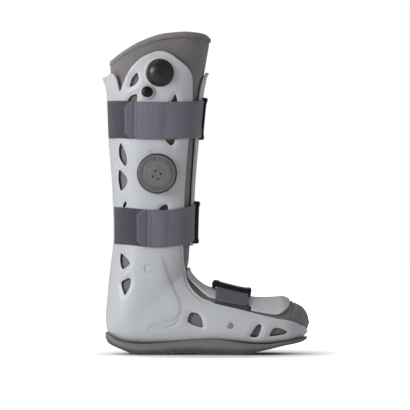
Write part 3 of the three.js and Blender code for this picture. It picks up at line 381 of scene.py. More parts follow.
def inside(points, loop):
    """Which points lie in a closed loop, in two dimensions"""
    x, y = points[:, 0], points[:, 1]
    result = np.zeros(len(points), bool)
    for (x1, y1), (x2, y2) in zip(loop, np.roll(loop, -1, axis=0)):
        if y1 != y2:
            crosses = (y1 > y) != (y2 > y)
            result ^= crosses & (x < (x2 - x1) * (y - y1) / (y2 - y1) + x1)
    return result


def near_distance(points, targets):
    tree = KDTree(len(targets))
    for k, target in enumerate(targets):
        tree.insert(target, k)
    tree.balance()
    return np.array([tree.find(point)[2] for point in points])


# Meshes


def linked(name, data):
    obj = bpy.data.objects.new(name, data)
    bpy.context.scene.collection.objects.link(obj)
    return obj


def build(name, points, faces, uv=None, rim=None, recalculate=True):
    """An object at the origin from points in millimetres"""
    mesh = bpy.data.meshes.new(name)
    mesh.from_pydata((np.asarray(points) * MM).tolist(), [], faces)
    if uv is not None:
        layer = mesh.uv_layers.new(name="UVMap")
        loops = np.zeros(len(mesh.loops), np.int32)
        mesh.loops.foreach_get("vertex_index", loops)
        layer.data.foreach_set("uv", np.asarray(uv, np.float32)[loops].ravel())
    if rim is not None:
        mesh.attributes.new("rim", "FLOAT", "POINT").data.foreach_set(
            "value", np.asarray(rim, np.float32))
    if recalculate:
        grown = bmesh.new()
        grown.from_mesh(mesh)
        bmesh.ops.recalc_face_normals(grown, faces=grown.faces)
        grown.to_mesh(mesh)
        grown.free()
    mesh.shade_smooth()
    return linked(name, mesh)


def grid_faces(rows, columns, start=0, ring=False, loop=False):
    """Quads of a grid of points, closed round its columns if ring, and its rows if loop"""
    faces = []
    for i in range(rows if loop else rows - 1):
        n = (i + 1) % rows
        for j in range(columns if ring else columns - 1):
            k = (j + 1) % columns
            faces.append((start + i * columns + j, start + i * columns + k,
                          start + n * columns + k, start + n * columns + j))
    return faces


def tube_faces(rows, columns):
    """The faces of a tube of rings, with both ends closed"""
    last = (rows - 1) * columns
    return grid_faces(rows, columns, ring=True) + [tuple(range(columns)),
                                                   tuple(range(last, last + columns))]


def wear(obj, material, slot, body="boot", nodes=()):
    """Gives a finished piece its material and its body, and hides the nodes it stands for; the
    slot is not used
    """
    obj.data.materials.clear()
    obj.data.materials.append(material)
    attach(obj, body)
    if nodes:
        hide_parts(*nodes)
    return obj


ANGLE_SCALE, PLACE_SCALE = 55.0, 16.0


def to_plane(loop):
    return np.asarray(loop) * (ANGLE_SCALE, PLACE_SCALE)


def away_from(loop, lift):
    """Directions out of a loop of (angle, place), along the surface"""
    points = on_shell(loop, lift)
    along = unit(np.roll(points, -1, axis=0) - np.roll(points, 1, axis=0))
    return unit(np.cross(along, form_normal(loop[:, 1], loop[:, 0])))


def slide(loop, directions, distance, lift):
    """Moves a loop of (angle, place) by real distances along directions on the surface"""
    here = on_shell(loop, lift)
    by_angle = (on_shell(loop + (0.01, 0), lift) - here) / 0.01
    by_place = (on_shell(loop + (0, 0.01), lift) - here) / 0.01
    wish = directions * distance
    aa, pp, ap = (by_angle ** 2).sum(1), (by_place ** 2).sum(1), (by_angle * by_place).sum(1)
    wa, wp = (by_angle * wish).sum(1), (by_place * wish).sum(1)
    det = np.maximum(aa * pp - ap * ap, 1e-6)
    return loop + np.stack([(wa * pp - wp * ap) / det, (wp * aa - wa * ap) / det], 1)


def resampled_loop(loop, step, lift):
    """The same loop with points at even real steps"""
    points = on_shell(loop, lift)
    lengths = travelled(np.vstack([points, points[:1]]))
    count = max(int(round(lengths[-1] / step)), 8)
    at = np.linspace(0, lengths[-1], count, endpoint=False)
    both = np.vstack([loop, loop[:1]])
    return np.stack([np.interp(at, lengths, both[:, k]) for k in range(2)], 1)


def anticlockwise(loop):
    x, y = to_plane(loop).T
    area = (x * np.roll(y, -1) - np.roll(x, -1) * y).sum()
    return loop if area > 0 else loop[::-1]


def spread_rows(first, last, spacing):
    """Places from first to last whose sections stand no further apart than the spacing"""
    fine = np.linspace(first, last, 1200)
    tracks = [shell_surface(fine, a, SHELL_OUTER) for a in (0.0, 0.9, 1.6)]
    steps = np.max([np.linalg.norm(np.diff(t, axis=0), axis=1) for t in tracks], axis=0)
    lengths = np.concatenate([[0], np.cumsum(steps)])
    count = int(lengths[-1] / spacing) + 2
    return np.interp(np.linspace(0, lengths[-1], count), lengths, fine)


def in_first_only(spots, loops):
    """Which spots lie in the first loop and in none of the others"""
    keep = inside(spots, loops[0])
    for hole in loops[1:]:
        keep &= ~inside(spots, hole)
    return keep


def plate(name, outline, holes, low, high, spacing, radius, relief, extra=(), start=0.0):
    """A moulded wall over the form between two lifts, with round edges. outline and holes are
    loops of (angle, place); relief lifts the outside; extra adds points where detail is finer;
    start is the angle of the middle of its rows."""
    loops = []
    for number, loop in enumerate([outline, *holes]):
        loop = anticlockwise(resampled_loop(np.asarray(loop, float), min(spacing, 1.7), high))
        away = away_from(loop, high) * (-1 if number else 1)
        loops.append((slide(loop, away, -radius, high), away))
    flat = [loop for loop, _ in loops]
    edge = np.vstack(flat + [np.asarray(e, float).reshape(-1, 2) for e in extra])
    edge_points = on_shell(edge, high)
    first, last = flat[0][:, 1].min(), flat[0][:, 1].max()
    cells = []
    for place in spread_rows(first, last, spacing):
        turn = np.linspace(start - math.pi, start + math.pi, 721)
        run = travelled(shell_surface(place, turn, high))
        run -= np.interp(start, turn, run)
        at = np.arange(-int(-run[0] / spacing), int(run[-1] / spacing) + 1) * spacing
        angles = np.interp(at, run, turn)
        cells.append(np.stack([angles, np.full(len(angles), place)], 1))
    cells = np.vstack(cells)
    planes = [to_plane(loop) for loop in flat]
    cells = cells[in_first_only(to_plane(cells), planes)]
    cells = cells[near_distance(on_shell(cells, high), edge_points) > spacing * 0.6]
    domain = np.vstack([*flat, *[np.asarray(e, float).reshape(-1, 2) for e in extra], cells])
    edges, base = [], 0
    for loop in flat:
        edges += [(base + k, base + (k + 1) % len(loop)) for k in range(len(loop))]
        base += len(loop)
    plane = [Vector(p) for p in to_plane(domain).tolist()]
    verts, _, triangles, origins, _, _ = delaunay_2d_cdt(plane, edges, [], 0, 1e-4)
    where = {source: k for k, sources in enumerate(origins) for source in sources}
    domain = np.array([tuple(v) for v in verts]) / (ANGLE_SCALE, PLACE_SCALE)
    triangles = np.array(triangles)
    triangles = triangles[in_first_only(to_plane(domain)[triangles].mean(1), planes)]
    count = len(domain)
    lifts = high + relief(on_shell(domain, high), domain)
    points = [on_shell(domain, lifts), on_shell(domain, low)]
    faces = [tuple(t) for t in triangles.tolist()]
    faces += [tuple(t[::-1]) for t in (triangles + count).tolist()]
    rim = [np.zeros(2 * count)]
    size, base = 2 * count, 0
    turns = np.radians([30, 60, 90])
    for loop, away in loops:
        ids = np.array([where[base + k] for k in range(len(loop))])
        base += len(loop)
        rings = [(t, lifts[ids] - radius * (1 - np.cos(t))) for t in turns]
        rings += [(t, low + radius * (1 - np.cos(t))) for t in turns[::-1]]
        chained = [ids]
        for turn, ring_lifts in rings:
            points.append(on_shell(loop, ring_lifts) + away * (radius * np.sin(turn)))
            rim.append(np.full(len(ids), 1.0))
            chained.append(size + np.arange(len(ids)))
            size += len(ids)
        for one, two in zip(chained, [*chained[1:], ids + count]):
            faces += np.stack([one, np.roll(one, -1), np.roll(two, -1), two], 1).tolist()
    points, rim = np.vstack(points), np.concatenate(rim)
    rim[:sum(len(f) for f in flat)] = 0.6
    used = np.zeros(len(points), bool)
    for face in faces:
        used[list(face)] = True
    remap = np.cumsum(used) - 1
    faces = [tuple(int(remap[v]) for v in face) for face in faces]
    return build(name, points[used], faces, rim=rim[used])


# Materials


def add(tree, kind, inputs=None, **settings):
    node = tree.nodes.new(kind)
    for key, value in settings.items():
        setattr(node, key, value)
    for key, value in (inputs or {}).items():
        if isinstance(value, bpy.types.NodeSocket):
            tree.links.new(value, node.inputs[key])
        else:
            node.inputs[key].default_value = value
    return node


def group(name, inputs, outputs):
    """A shader node group with named sockets"""
    tree = bpy.data.node_groups.new(name, "ShaderNodeTree")
    for label, kind, value in inputs:
        socket = tree.interface.new_socket(label, in_out="INPUT", socket_type="NodeSocket" + kind)
        socket.default_value = value
    for label, kind in outputs:
        tree.interface.new_socket(label, in_out="OUTPUT", socket_type="NodeSocket" + kind)
    return tree, add(tree, "NodeGroupInput").outputs, add(tree, "NodeGroupOutput").inputs


def math_node(tree, operation, a, b=0.0):
    return add(tree, "ShaderNodeMath", {0: a, 1: b}, operation=operation).outputs[0]


def mix_colour(tree, factor, a, b):
    node = add(tree, "ShaderNodeMix", {0: factor, 6: a, 7: b}, data_type="RGBA")
    return node.outputs[2]


def spread(tree, value, low=0.0, high=1.0, to_low=0.0, to_high=1.0):
    """A value mapped from one range to another"""
    node = add(tree, "ShaderNodeMapRange", {"Value": value, "From Min": low, "From Max": high,
                                            "To Min": to_low, "To Max": to_high})
    return node.outputs[0]


def noise(tree, vector, scale, detail=2.0, roughness=0.5, distortion=0.0):
    node = add(tree, "ShaderNodeTexNoise", {"Vector": vector, "Scale": scale, "Detail": detail,
                                            "Roughness": roughness, "Distortion": distortion})
    return node.outputs["Fac"]


def sum_of(tree, *terms):
    """The sum of (value, factor) terms"""
    total = None
    for value, factor in terms:
        if factor != 1.0:
            value = math_node(tree, "MULTIPLY", value, factor)
        total = value if total is None else math_node(tree, "ADD", total, value)
    return total


def tinted(colour, share):
    return [min(1.0, c * share) for c in colour[:3]] + [1]


def make_drift():
    """Slow changes of colour, as in moulded plastic and worn cloth"""
    tree, taken, given = group(
        "Colour drift",
        [("Light", "Color", (0.6, 0.6, 0.6, 1)), ("Dark", "Color", (0.4, 0.4, 0.4, 1)),
         ("Scale", "Float", 12.0), ("Contrast", "Float", 0.5)],
        [("Colour", "Color"), ("Mask", "Float")])
    place = add(tree, "ShaderNodeTexCoord").outputs["Object"]
    large = noise(tree, place, taken["Scale"], 5.0, 0.6)
    mask = spread(tree, large, 0.3, 0.7, 0.0, taken["Contrast"])
    tree.links.new(mask, given["Mask"])
    tree.links.new(mix_colour(tree, mask, taken["Light"], taken["Dark"]), given["Colour"])
    return tree


def make_grain():
    """The fine pitted grain of moulded plastic and rubber"""
    tree, taken, given = group("Moulded grain", [("Scale", "Float", 900.0)],
                               [("Height", "Float"), ("Dust", "Float")])
    place = add(tree, "ShaderNodeTexCoord").outputs["Object"]
    fine = noise(tree, place, taken["Scale"], 3.0, 0.7)
    pits = add(tree, "ShaderNodeTexVoronoi", {"Vector": place, "Scale": taken["Scale"]})
    height = sum_of(tree, (fine, 1.0), (pits.outputs["Distance"], 0.6))
    tree.links.new(height, given["Height"])
    tree.links.new(spread(tree, noise(tree, place, 55.0, 8.0, 0.75), 0.42, 0.66),
                   given["Dust"])
    return tree


def make_edge_wear():
    """Brighter scuffed edges, broken up by noise, where the rim attribute is set"""
    tree, _, given = group("Edge wear", [], [("Mask", "Float")])
    place = add(tree, "ShaderNodeTexCoord").outputs["Object"]
    rim = add(tree, "ShaderNodeAttribute", attribute_name="rim").outputs["Fac"]
    spots = spread(tree, noise(tree, place, 160.0, 4.0), 0.3, 0.7, 0.35)
    tree.links.new(math_node(tree, "MULTIPLY", rim, spots), given["Mask"])
    return tree


def make_weave():
    """Ribbed webbing on the piece's own UV map: ribs across the strap and threads along it"""
    tree, taken, given = group(
        "Webbing", [("Rib pitch", "Float", 0.0016), ("Thread pitch", "Float", 0.0011)],
        [("Height", "Float"), ("Ribs", "Float"), ("Fuzz", "Float")])
    uv = add(tree, "ShaderNodeUVMap", uv_map="UVMap").outputs[0]
    parts = add(tree, "ShaderNodeSeparateXYZ", {0: uv}).outputs
    shifted = sum_of(tree, (parts[0], 1.0), (noise(tree, uv, 300.0), 0.0006))
    turn = math_node(tree, "DIVIDE", shifted, taken["Rib pitch"])
    ribs = math_node(tree, "SINE", math_node(tree, "MULTIPLY", turn, 2 * math.pi))
    ribs = math_node(tree, "MULTIPLY", math_node(tree, "ADD", ribs, 1.0), 0.5)
    over = math_node(tree, "MULTIPLY", math_node(tree, "FLOOR", turn), 0.5)
    cross = math_node(tree, "ADD", math_node(tree, "DIVIDE", parts[1], taken["Thread pitch"]),
                      over)
    threads = math_node(tree, "ABSOLUTE",
                        math_node(tree, "SINE", math_node(tree, "MULTIPLY", cross, math.pi)))
    fuzz = noise(tree, uv, 2600.0, 3.0)
    height = sum_of(tree, (ribs, 0.6), (threads, 0.35), (fuzz, 0.3))
    tree.links.new(height, given["Height"])
    # The Ribs output is high on rib and thread tops: the mask for the webbing's painted shade in
    # the hollows
    tree.links.new(math_node(tree, "MULTIPLY", ribs, threads), given["Ribs"])
    tree.links.new(fuzz, given["Fuzz"])
    return tree


def make_pile():
    """Short brushed fibre, as on laminated foam and loop patches"""
    tree, taken, given = group("Brushed fibre", [("Scale", "Float", 1500.0)],
                               [("Height", "Float"), ("Fleck", "Float")])
    place = add(tree, "ShaderNodeTexCoord").outputs["Object"]
    knots = add(tree, "ShaderNodeTexVoronoi", {"Vector": place, "Scale": taken["Scale"]})
    fibre = noise(tree, place, taken["Scale"], 4.0, 0.8, 1.5)
    height = sum_of(tree, (fibre, 1.0), (knots.outputs["Distance"], -0.5))
    tree.links.new(height, given["Height"])
    tree.links.new(spread(tree, fibre, 0.35, 0.65), given["Fleck"])
    return tree


class Finishes:
    """The materials, each made once when it is first asked for"""

    made = {}
    groups = {}

    @classmethod
    def effect(cls, tree, key, inputs=None):
        makers = {"drift": make_drift, "grain": make_grain, "wear": make_edge_wear,
                  "weave": make_weave, "pile": make_pile}
        if key not in cls.groups:
            cls.groups[key] = makers[key]()
        return add(tree, "ShaderNodeGroup", inputs, node_tree=cls.groups[key]).outputs

    @classmethod
    def drifted(cls, tree, colour, shade, scale):
        return cls.effect(tree, "drift", {"Light": colour, "Dark": tinted(colour, shade),
                                          "Scale": scale, "Contrast": 1.0})["Colour"]

    @classmethod
    def get(cls, key):
        if key not in cls.made:
            cls.made[key] = getattr(cls, key)(bpy.context.scene.walking_boot)
        return cls.made[key]

    @classmethod
    def shader(cls, name, colour, roughness, height, depth, **plain):
        """A Principled material; plain values go on its own sockets"""
        material = bpy.data.materials[name]
        tree = material.node_tree
        bsdf = tree.nodes["Principled BSDF"]
        tree.links.new(colour, bsdf.inputs["Base Color"])
        tree.links.new(roughness, bsdf.inputs["Roughness"])
        bump = add(tree, "ShaderNodeBump", {"Height": height, "Distance": depth,
                                            "Strength": 1.0})
        tree.links.new(bump.outputs[0], bsdf.inputs["Normal"])
        for key, value in plain.items():
            bsdf.inputs[key.replace("_", " ")].default_value = value
        return material

    @staticmethod
    def fresh(name):
        material = bpy.data.materials.new(name)
        material.use_nodes = True
        return material.node_tree

    @classmethod
    def moulded(cls, name, colour, shade, roughness, depth, scale=900.0, wear=0.25,
                drift=14.0, **plain):
        """Moulded plastic or rubber: drifting colour, grain, dull dusty patches, worn edges"""
        tree = cls.fresh(name)
        drifted = cls.drifted(tree, colour, shade, drift)
        grain = cls.effect(tree, "grain", {"Scale": scale})
        edge = cls.effect(tree, "wear")
        colour_out = mix_colour(tree, edge["Mask"], drifted, tinted(colour, 1 + wear))
        rough = spread(tree, grain["Dust"], 0.0, 1.0, roughness - 0.04, roughness + 0.07)
        return cls.shader(name, colour_out, rough, grain["Height"], depth, **plain)

    @classmethod
    def cloth(cls, name, colour, shade, scale, depth, roughness, sheen=0.3):
        """Brushed cloth: flecked fibre over slowly drifting colour"""
        tree = cls.fresh(name)
        drifted = cls.drifted(tree, colour, shade, 22.0)
        pile = cls.effect(tree, "pile", {"Scale": scale})
        fleck = math_node(tree, "MULTIPLY", pile["Fleck"], 0.6)
        colour_out = mix_colour(tree, fleck, tinted(colour, 0.62), drifted)
        rough = spread(tree, pile["Fleck"], 0.0, 1.0, roughness - 0.06, roughness)
        return cls.shader(name, colour_out, rough, pile["Height"], depth,
                          Sheen_Weight=sheen, Sheen_Roughness=0.5)

    @classmethod
    def webbing(cls, name, colour, shade, pitch, threads, depth, sheen=0.25):
        """Ribbed webbing: ribs across, threads along, with painted shade between the ribs and
        threads, mixed with fibre fleck
        """
        tree = cls.fresh(name)
        weave = cls.effect(tree, "weave", {"Rib pitch": pitch, "Thread pitch": threads})
        drifted = cls.drifted(tree, colour, 0.82, 30.0)
        # Painted shade: the rib mask with fuzz darkens the colour in the hollows between ribs and
        # threads
        ribs = sum_of(tree, (weave["Ribs"], 0.75), (weave["Fuzz"], 0.35))
        colour_out = mix_colour(tree, ribs, tinted(colour, shade), drifted)
        rough = spread(tree, weave["Fuzz"], 0.0, 1.0, 0.72, 0.95)
        return cls.shader(name, colour_out, rough, weave["Height"], depth,
                          Sheen_Weight=sheen, Sheen_Roughness=0.45)

    @classmethod
    def shell(cls, s):
        return cls.moulded("Satin grey shell", s.shell_colour, 0.93, s.shell_roughness, 0.00004,
                           wear=0.12, Specular_IOR_Level=0.45)

    @classmethod
    def liner(cls, s):
        return cls.cloth("Brushed liner", s.liner_colour, 0.8, 1300.0, 0.0005, 0.97)

    @classmethod
    def lining(cls, s):
        return cls.cloth("Binding tape", s.binding_colour, 0.85, 2200.0, 0.0002, 0.93, 0.2)

    @classmethod
    def sole(cls, s):
        return cls.moulded("Matt sole rubber", s.sole_colour, 0.85, 0.72, 0.00008, 600.0, 0.35,
                           20.0, Specular_IOR_Level=0.35)

    @classmethod
    def strap(cls, s):
        return cls.webbing("Ribbed strap", s.strap_colour, 0.42, s.rib_pitch, 0.0013, 0.0005)

    @classmethod
    def tab(cls, s):
        return cls.webbing("Strap tab", s.tab_colour, 0.72, 0.0011, 0.0011, 0.0002, 0.1)

    @classmethod
    def patch(cls, s):
        return cls.webbing("Loop patch", s.patch_colour, 0.4, s.rib_pitch * 1.3, 0.0021,
                           0.0007, 0.15)

    @classmethod
    def thread(cls, s):
        return cls.cloth("Stitching thread", s.thread_colour, 0.8, 4000.0, 0.0001, 0.85)

    @classmethod
    def black(cls, s):
        return cls.moulded("Glossy black plastic", s.black_colour, 0.8, 0.24, 0.000015, 1400.0,
                           0.8, 40.0, Specular_IOR_Level=0.2)

    @classmethod
    def rubber(cls, s):
        return cls.moulded("Satin bulb rubber", s.black_colour, 0.75, 0.34, 0.00002, 1100.0,
                           0.3, 40.0, Specular_IOR_Level=0.5)

    @classmethod
    def dial(cls, s):
        return cls.moulded("Satin grey dial", s.dial_colour, 0.8, 0.46, 0.00005, 800.0, 0.3,
                           60.0)

    @classmethod
    def base(cls, s):
        # Near black: partly the base's own colour and partly painted shade of the gap round the
        # dial
        return cls.moulded("Dark dial base", s.base_colour, 0.8, 0.4, 0.00003, 900.0, 0.6, 40.0)

    @classmethod
    def metal(cls, s):
        return cls.moulded("Rivet finish", s.rivet_colour, 0.7, 0.34, 0.00002, 1500.0, 0.5,
                           90.0, Metallic=0.55)


# Pieces that repeat, by geometry nodes


def instance_tree(name, shape, sizes, on_curve):
    """Instances of one small shape on a line of points, or along it at an even pitch"""
    tree = bpy.data.node_groups.new(name, "GeometryNodeTree")
    face = tree.interface
    face.new_socket("Geometry", in_out="INPUT", socket_type="NodeSocketGeometry")
    for label, value in sizes.items():
        face.new_socket(label, in_out="INPUT", socket_type="NodeSocketFloat").default_value = value
    face.new_socket("Material", in_out="INPUT", socket_type="NodeSocketMaterial")
    face.new_socket("Geometry", in_out="OUTPUT", socket_type="NodeSocketGeometry")
    taken, given = add(tree, "NodeGroupInput").outputs, add(tree, "NodeGroupOutput").inputs
    source = taken["Geometry"]
    if shape == "block":
        made = add(tree, "GeometryNodeMeshCube", {"Size": (1, 1, 1)}).outputs["Mesh"]
    else:
        made = add(tree, "GeometryNodeMeshIcoSphere", {"Radius": 0.5, "Subdivisions": 2})
        made = made.outputs["Mesh"]
    scale = add(tree, "ShaderNodeCombineXYZ", {0: taken["Length"], 1: taken["Width"],
                                               2: taken["Height"]}).outputs[0]
    if on_curve:
        line = add(tree, "GeometryNodeMeshToCurve", {"Mesh": source}).outputs[0]
        source = add(tree, "GeometryNodeResampleCurve",
                     {"Curve": line, "Length": taken["Pitch"]}, mode="LENGTH").outputs[0]
        tangent = add(tree, "GeometryNodeInputTangent").outputs[0]
        turn = add(tree, "FunctionNodeAlignRotationToVector", {"Vector": tangent},
                   axis="X").outputs[0]
    else:
        named = add(tree, "GeometryNodeInputNamedAttribute", {"Name": "turn"},
                    data_type="FLOAT_VECTOR").outputs["Attribute"]
        turn = add(tree, "FunctionNodeEulerToRotation", {0: named}).outputs[0]
    placed = add(tree, "GeometryNodeInstanceOnPoints",
                 {"Points": source, "Instance": made, "Rotation": turn, "Scale": scale})
    real = add(tree, "GeometryNodeRealizeInstances", {0: placed.outputs[0]}).outputs[0]
    shaded = add(tree, "GeometryNodeSetShadeSmooth", {0: real}).outputs[0]
    worn = add(tree, "GeometryNodeSetMaterial", {0: shaded, "Material": taken["Material"]})
    tree.links.new(worn.outputs[0], given["Geometry"])
    return tree


TREES = {}


def repeated(name, points, edges, shape, sizes, material, turns=None):
    """Runs an instance tree on points in millimetres and keeps the plain mesh it gives"""
    key = (shape, turns is None)
    if key not in TREES:
        TREES[key] = instance_tree(f"Repeated {shape}", shape, sizes, turns is None)
    mesh = bpy.data.meshes.new(name)
    mesh.from_pydata((np.asarray(points) * MM).tolist(), edges, [])
    if turns is not None:
        layer = mesh.attributes.new("turn", "FLOAT_VECTOR", "POINT")
        layer.data.foreach_set("vector", np.asarray(turns, np.float32).ravel())
    obj = linked(name, mesh)
    modifier = obj.modifiers.new("Repeat", "NODES")
    modifier.node_group = TREES[key]
    values = {**sizes, "Material": material}
    for item in TREES[key].interface.items_tree:
        if item.in_out == "INPUT" and item.name in values:
            modifier[item.identifier] = values[item.name]
    made = obj.evaluated_get(bpy.context.evaluated_depsgraph_get())
    result = bpy.data.meshes.new_from_object(made)
    obj.modifiers.clear()
    obj.data = result
    result.shade_smooth()
    return obj


def turns_from(tangents, normals):
    """Euler turns that lay an instance along a tangent, facing a normal"""
    turns = []
    for tangent, normal in zip(unit(tangents), unit(normals)):
        side = np.cross(normal, tangent)
        side /= max(np.linalg.norm(side), 1e-9)
        up = np.cross(tangent, side)
        turns.append(Matrix(np.stack([tangent, side, up], 1).tolist()).to_euler())
    return [tuple(turn) for turn in turns]


# The shell


def spline(points, steps=8):
    """A smooth line through points, of any dimension"""
    p = np.asarray(points, float)
    p = np.vstack([2 * p[0] - p[1], p, 2 * p[-1] - p[-2]])
    t = np.linspace(0, 1, steps, endpoint=False)[:, None]
    line = []
    for a, b, c, d in zip(p, p[1:], p[2:], p[3:]):
        line.append((2 * b + (c - a) * t + (2 * a - 5 * b + 4 * c - d) * t ** 2
                     + (3 * b - a - 3 * c + d) * t ** 3) / 2)
    return np.vstack([*line, p[-2:-1]])


def edge_angle(place, lip=0.0):
    """The shell's front edge, a given distance forward of its listed share"""
    place = np.asarray(place, float)
    s = section(place)
    depth = np.hypot(s[..., 2] - s[..., 0], s[..., 3] - s[..., 1])
    return angle_at_share(place, s[..., 8] + lip / depth, SHELL_OUTER)


def lip_width(place):
    return LIP_WIDTH * smooth(5.3, 6.3, place) * (1 - smooth(17.2, 17.9, place))


def top_height(x):
    """How high the shell's top edge stands at x, seen from the side"""
    edge = np.vstack([leg_spot(*np.array(REAR_TAB).T), leg_spot(*spline(WING_EDGE).T)])
    return np.interp(x, edge[:, 0], edge[:, 1])


def top_edge():
    """(angle, place) along the top edge, from the middle of the back to the throat"""
    angles = np.linspace(0, 2.9, 420)
    places = np.arange(0, 5, 0.01)
    grid_p, grid_a = np.meshgrid(places, angles, indexing="ij")
    points = shell_surface(grid_p, grid_a, SHELL_OUTER)
    below = points[..., 2] <= top_height(points[..., 0])
    first = places[np.argmax(below, axis=0)]
    kept = angles < edge_angle(first)
    stop = int(np.argmin(kept))
    return np.stack([angles[:stop], first[:stop]], 1)


def both_sides(loop):
    """A half outline from the middle of the back to the middle of the sole, made whole"""
    other = loop[::-1] * (-1, 1)
    return np.vstack([loop, other[1:-1]])


def shell_outline():
    top = top_edge()
    throat = np.linspace(top[-1, 1] + 0.02, SHELL_TOE_FROM, 500)
    throat = np.stack([edge_angle(throat, lip_width(throat)), throat], 1)
    turn = np.linspace(0.02, 1, 60)
    toe = np.stack([throat[-1, 0] * np.sqrt(1 - turn ** 2),
                    SHELL_TOE_FROM + turn * (SHELL_TOE_END - SHELL_TOE_FROM)], 1)
    return both_sides(np.vstack([top, throat, toe]))


# How far each leg strap wanders up or down, from the front middle (0) to its slot (1)
STRAP_DRIFT = {
    "upper": [(0, 1.5), (0.15, 1.2), (0.5, -1.0), (0.8, 0.3), (0.95, 0.0), (1.1, 0.0)],
    "lower": [(0, 3.6), (0.15, 3.0), (0.5, -3.2), (0.8, -0.4), (0.95, 0.0), (1.1, 0.0)],
}


def leg_run(name):
    return StrapRun(lambda height: place_at_height(leg_z(LEG_STRAPS[name][0]) + height),
                    SHELL_OUTER, STRAP_DRIFT[name])


class StrapRun:
    """A strap's own frame: distance from the front middle, height across it, and lift"""

    def __init__(self, place_at, lift, drift=()):
        self.place_at = place_at
        self.drift = np.array(drift or [(0, 0), (1, 0)], float)
        self.place = float(place_at(0.0))
        turns = np.linspace(0, math.pi, 361)
        track = lifted(self.place, math.pi - turns, lift)
        self.turns, self.distances = turns, travelled(track)
        turn = solve(lambda a: form(np.full(a.shape, self.place), a)[..., 1], 0, math.pi / 2,
                     SLOT_HALF_SPACING)
        self.slot = self.at_angle(float(turn))

    def at_angle(self, angle):
        return float(np.interp(math.pi - angle, self.turns, self.distances))

    def at_share(self, share, lift):
        return self.at_angle(float(angle_at_share(self.place, share, lift)))

    def spot(self, distance, height):
        """(angle, place) of spots on the strap"""
        turn = np.interp(np.abs(distance), self.distances, self.turns)
        drift = spline(self.drift)
        drift = np.interp(np.abs(distance), drift[:, 0] * self.slot, drift[:, 1])
        return -math.pi + np.sign(distance) * turn, self.place_at(height + drift)

    def points(self, distance, height, lift):
        distance, height, lift = np.broadcast_arrays(
            *(np.asarray(v, float) for v in (distance, height, lift)))
        angle, place = self.spot(distance, height)
        return lifted(place, angle, lift)


def slot_loops():
    """The upright slots in the back, with round ends"""
    loops = []
    cosine, sine = circle(48).T
    half, straight = SLOT_WIDTH / 2, STRAP_WIDTH / 2 + SLOT_END_ROOM - SLOT_WIDTH / 2
    for name in LEG_STRAPS:
        run = leg_run(name)
        for side in (1, -1):
            distance = run.slot + half * cosine
            height = half * sine + np.sign(sine) * straight
            angle, place = run.spot(distance, height)
            angle = np.mod(angle + math.pi, 2 * math.pi) - math.pi
            loops.append(np.stack([np.abs(angle) * side, place], 1))
    return loops


def ring_spots(place, radius, count=64):
    """(angle, place) round a circle in the side view, on the outer side"""
    return side_to_form(leg_spot(*place) + radius * circle(count)) * (-1, 1)


# Lines in the side view: the ankle cup's edge, the step low at the heel, and a small dimple
DIMPLE = (-42.4, 344.1)
ANKLE_LINE = [(10, 150), (11.5, 142.4), (21.9, 108.3), (36, 75.2), (39, 60), (32, 50),
              (14, 44)]
STEP_LINE = [(-6.2, 28.9), (-2, 36.5), (1.5, 38.6), (8, 38.4), (15.8, 36.6), (26, 38.2),
             (33.9, 42.4), (40, 47)]


def shell_relief(windows):
    """The shell's own shape: dished windows, throat lip, ankle cup, step line and seats"""
    rims = np.vstack([on_shell(resampled_loop(w, 1.5, SHELL_OUTER)) for w in windows])
    places = np.linspace(5.6, 17.7, 500)
    throat = edge_angle(places)
    throat = np.vstack([lifted(places, a, SHELL_OUTER) for a in (throat, -throat)])
    strength = np.tile(lip_width(places) / LIP_WIDTH, 2)
    ankle, step = resample(spline(ANKLE_LINE), 1.0), resample(spline(STEP_LINE), 0.8)
    bulb = leg_spot(*BULB_PLACE)

    def relief(points, domain):
        lifts = -1.5 * (1 - smooth(0.6, 5.5, near_distance(points, rims)))
        tree = KDTree(len(throat))
        for k, point in enumerate(throat):
            tree.insert(point, k)
        tree.balance()
        found = [tree.find(point) for point in points]
        gap = np.array([f[2] for f in found])
        power = strength[[f[1] for f in found]]
        past = np.abs(domain[:, 0]) > edge_angle(domain[:, 1])
        lifts -= power * (1.3 * np.exp(-(gap / 0.75) ** 2) + 0.5 * (past & (gap < 6)))
        side = points[:, [0, 2]]
        flat = np.column_stack([side, np.zeros(len(side))])
        line = np.column_stack([ankle, np.zeros(len(ankle))])
        near = near_distance(flat, line)
        within = inside(side, np.vstack([ankle, [(-60, 44), (-60, 160)]]))
        signed = np.where(within, near, -near)
        fade = smooth(34, 46, side[:, 1]) * (1 - smooth(118, 146, side[:, 1]))
        flank = smooth(18, 34, np.abs(points[:, 1]))
        lifts += 1.7 * fade * flank * smooth(-2.4, 2.4, signed) * (1 - smooth(3, 30, signed))
        line = np.column_stack([step, np.zeros(len(step))])
        near = near_distance(flat, line)
        end = smooth(-6, 0, side[:, 0]) * (1 - smooth(34, 40, side[:, 0]))
        lifts -= 1.3 * end * flank * np.exp(-(near / 0.95) ** 2)
        outer = points[:, 1] < 0
        away = np.linalg.norm(side - bulb, axis=1)
        lifts += outer * 0.7 * (1 - smooth(20.3, 21.4, away)) * smooth(14, 16, away)
        lifts -= outer * 1.2 * np.exp(-(np.linalg.norm(side - DIMPLE, axis=1) / 1.6) ** 2)
        return lifts

    return relief


def shell_extra(spacing=1.1):
    """Points where the shell's shape needs finer faces"""
    extra = []
    for offset in (-1.3, -0.65, 0.0, 0.65, 1.3):
        places = np.linspace(6.0, 17.4, 420)
        angles = edge_angle(places, offset)
        extra += [np.stack([angles, places], 1), np.stack([-angles, places], 1)]
    line = resample(spline(STEP_LINE), spacing)
    for offset in (-1.6, -0.8, 0.0, 0.8, 1.6):
        loop = side_to_form(line + (0, offset))
        extra += [loop, loop * (-1, 1)]
    extra += [ring_spots(BULB_PLACE, radius) for radius in (19.6, 20.3, 20.9, 21.5)]
    dimple = np.array([(DIMPLE[0] + r * math.cos(t), DIMPLE[1] + r * math.sin(t))
                       for r in (0.01, 0.8, 1.6, 2.4) for t in np.linspace(0, 6.28, 10)])
    extra.append(side_to_form(dimple) * (-1, 1))
    return extra


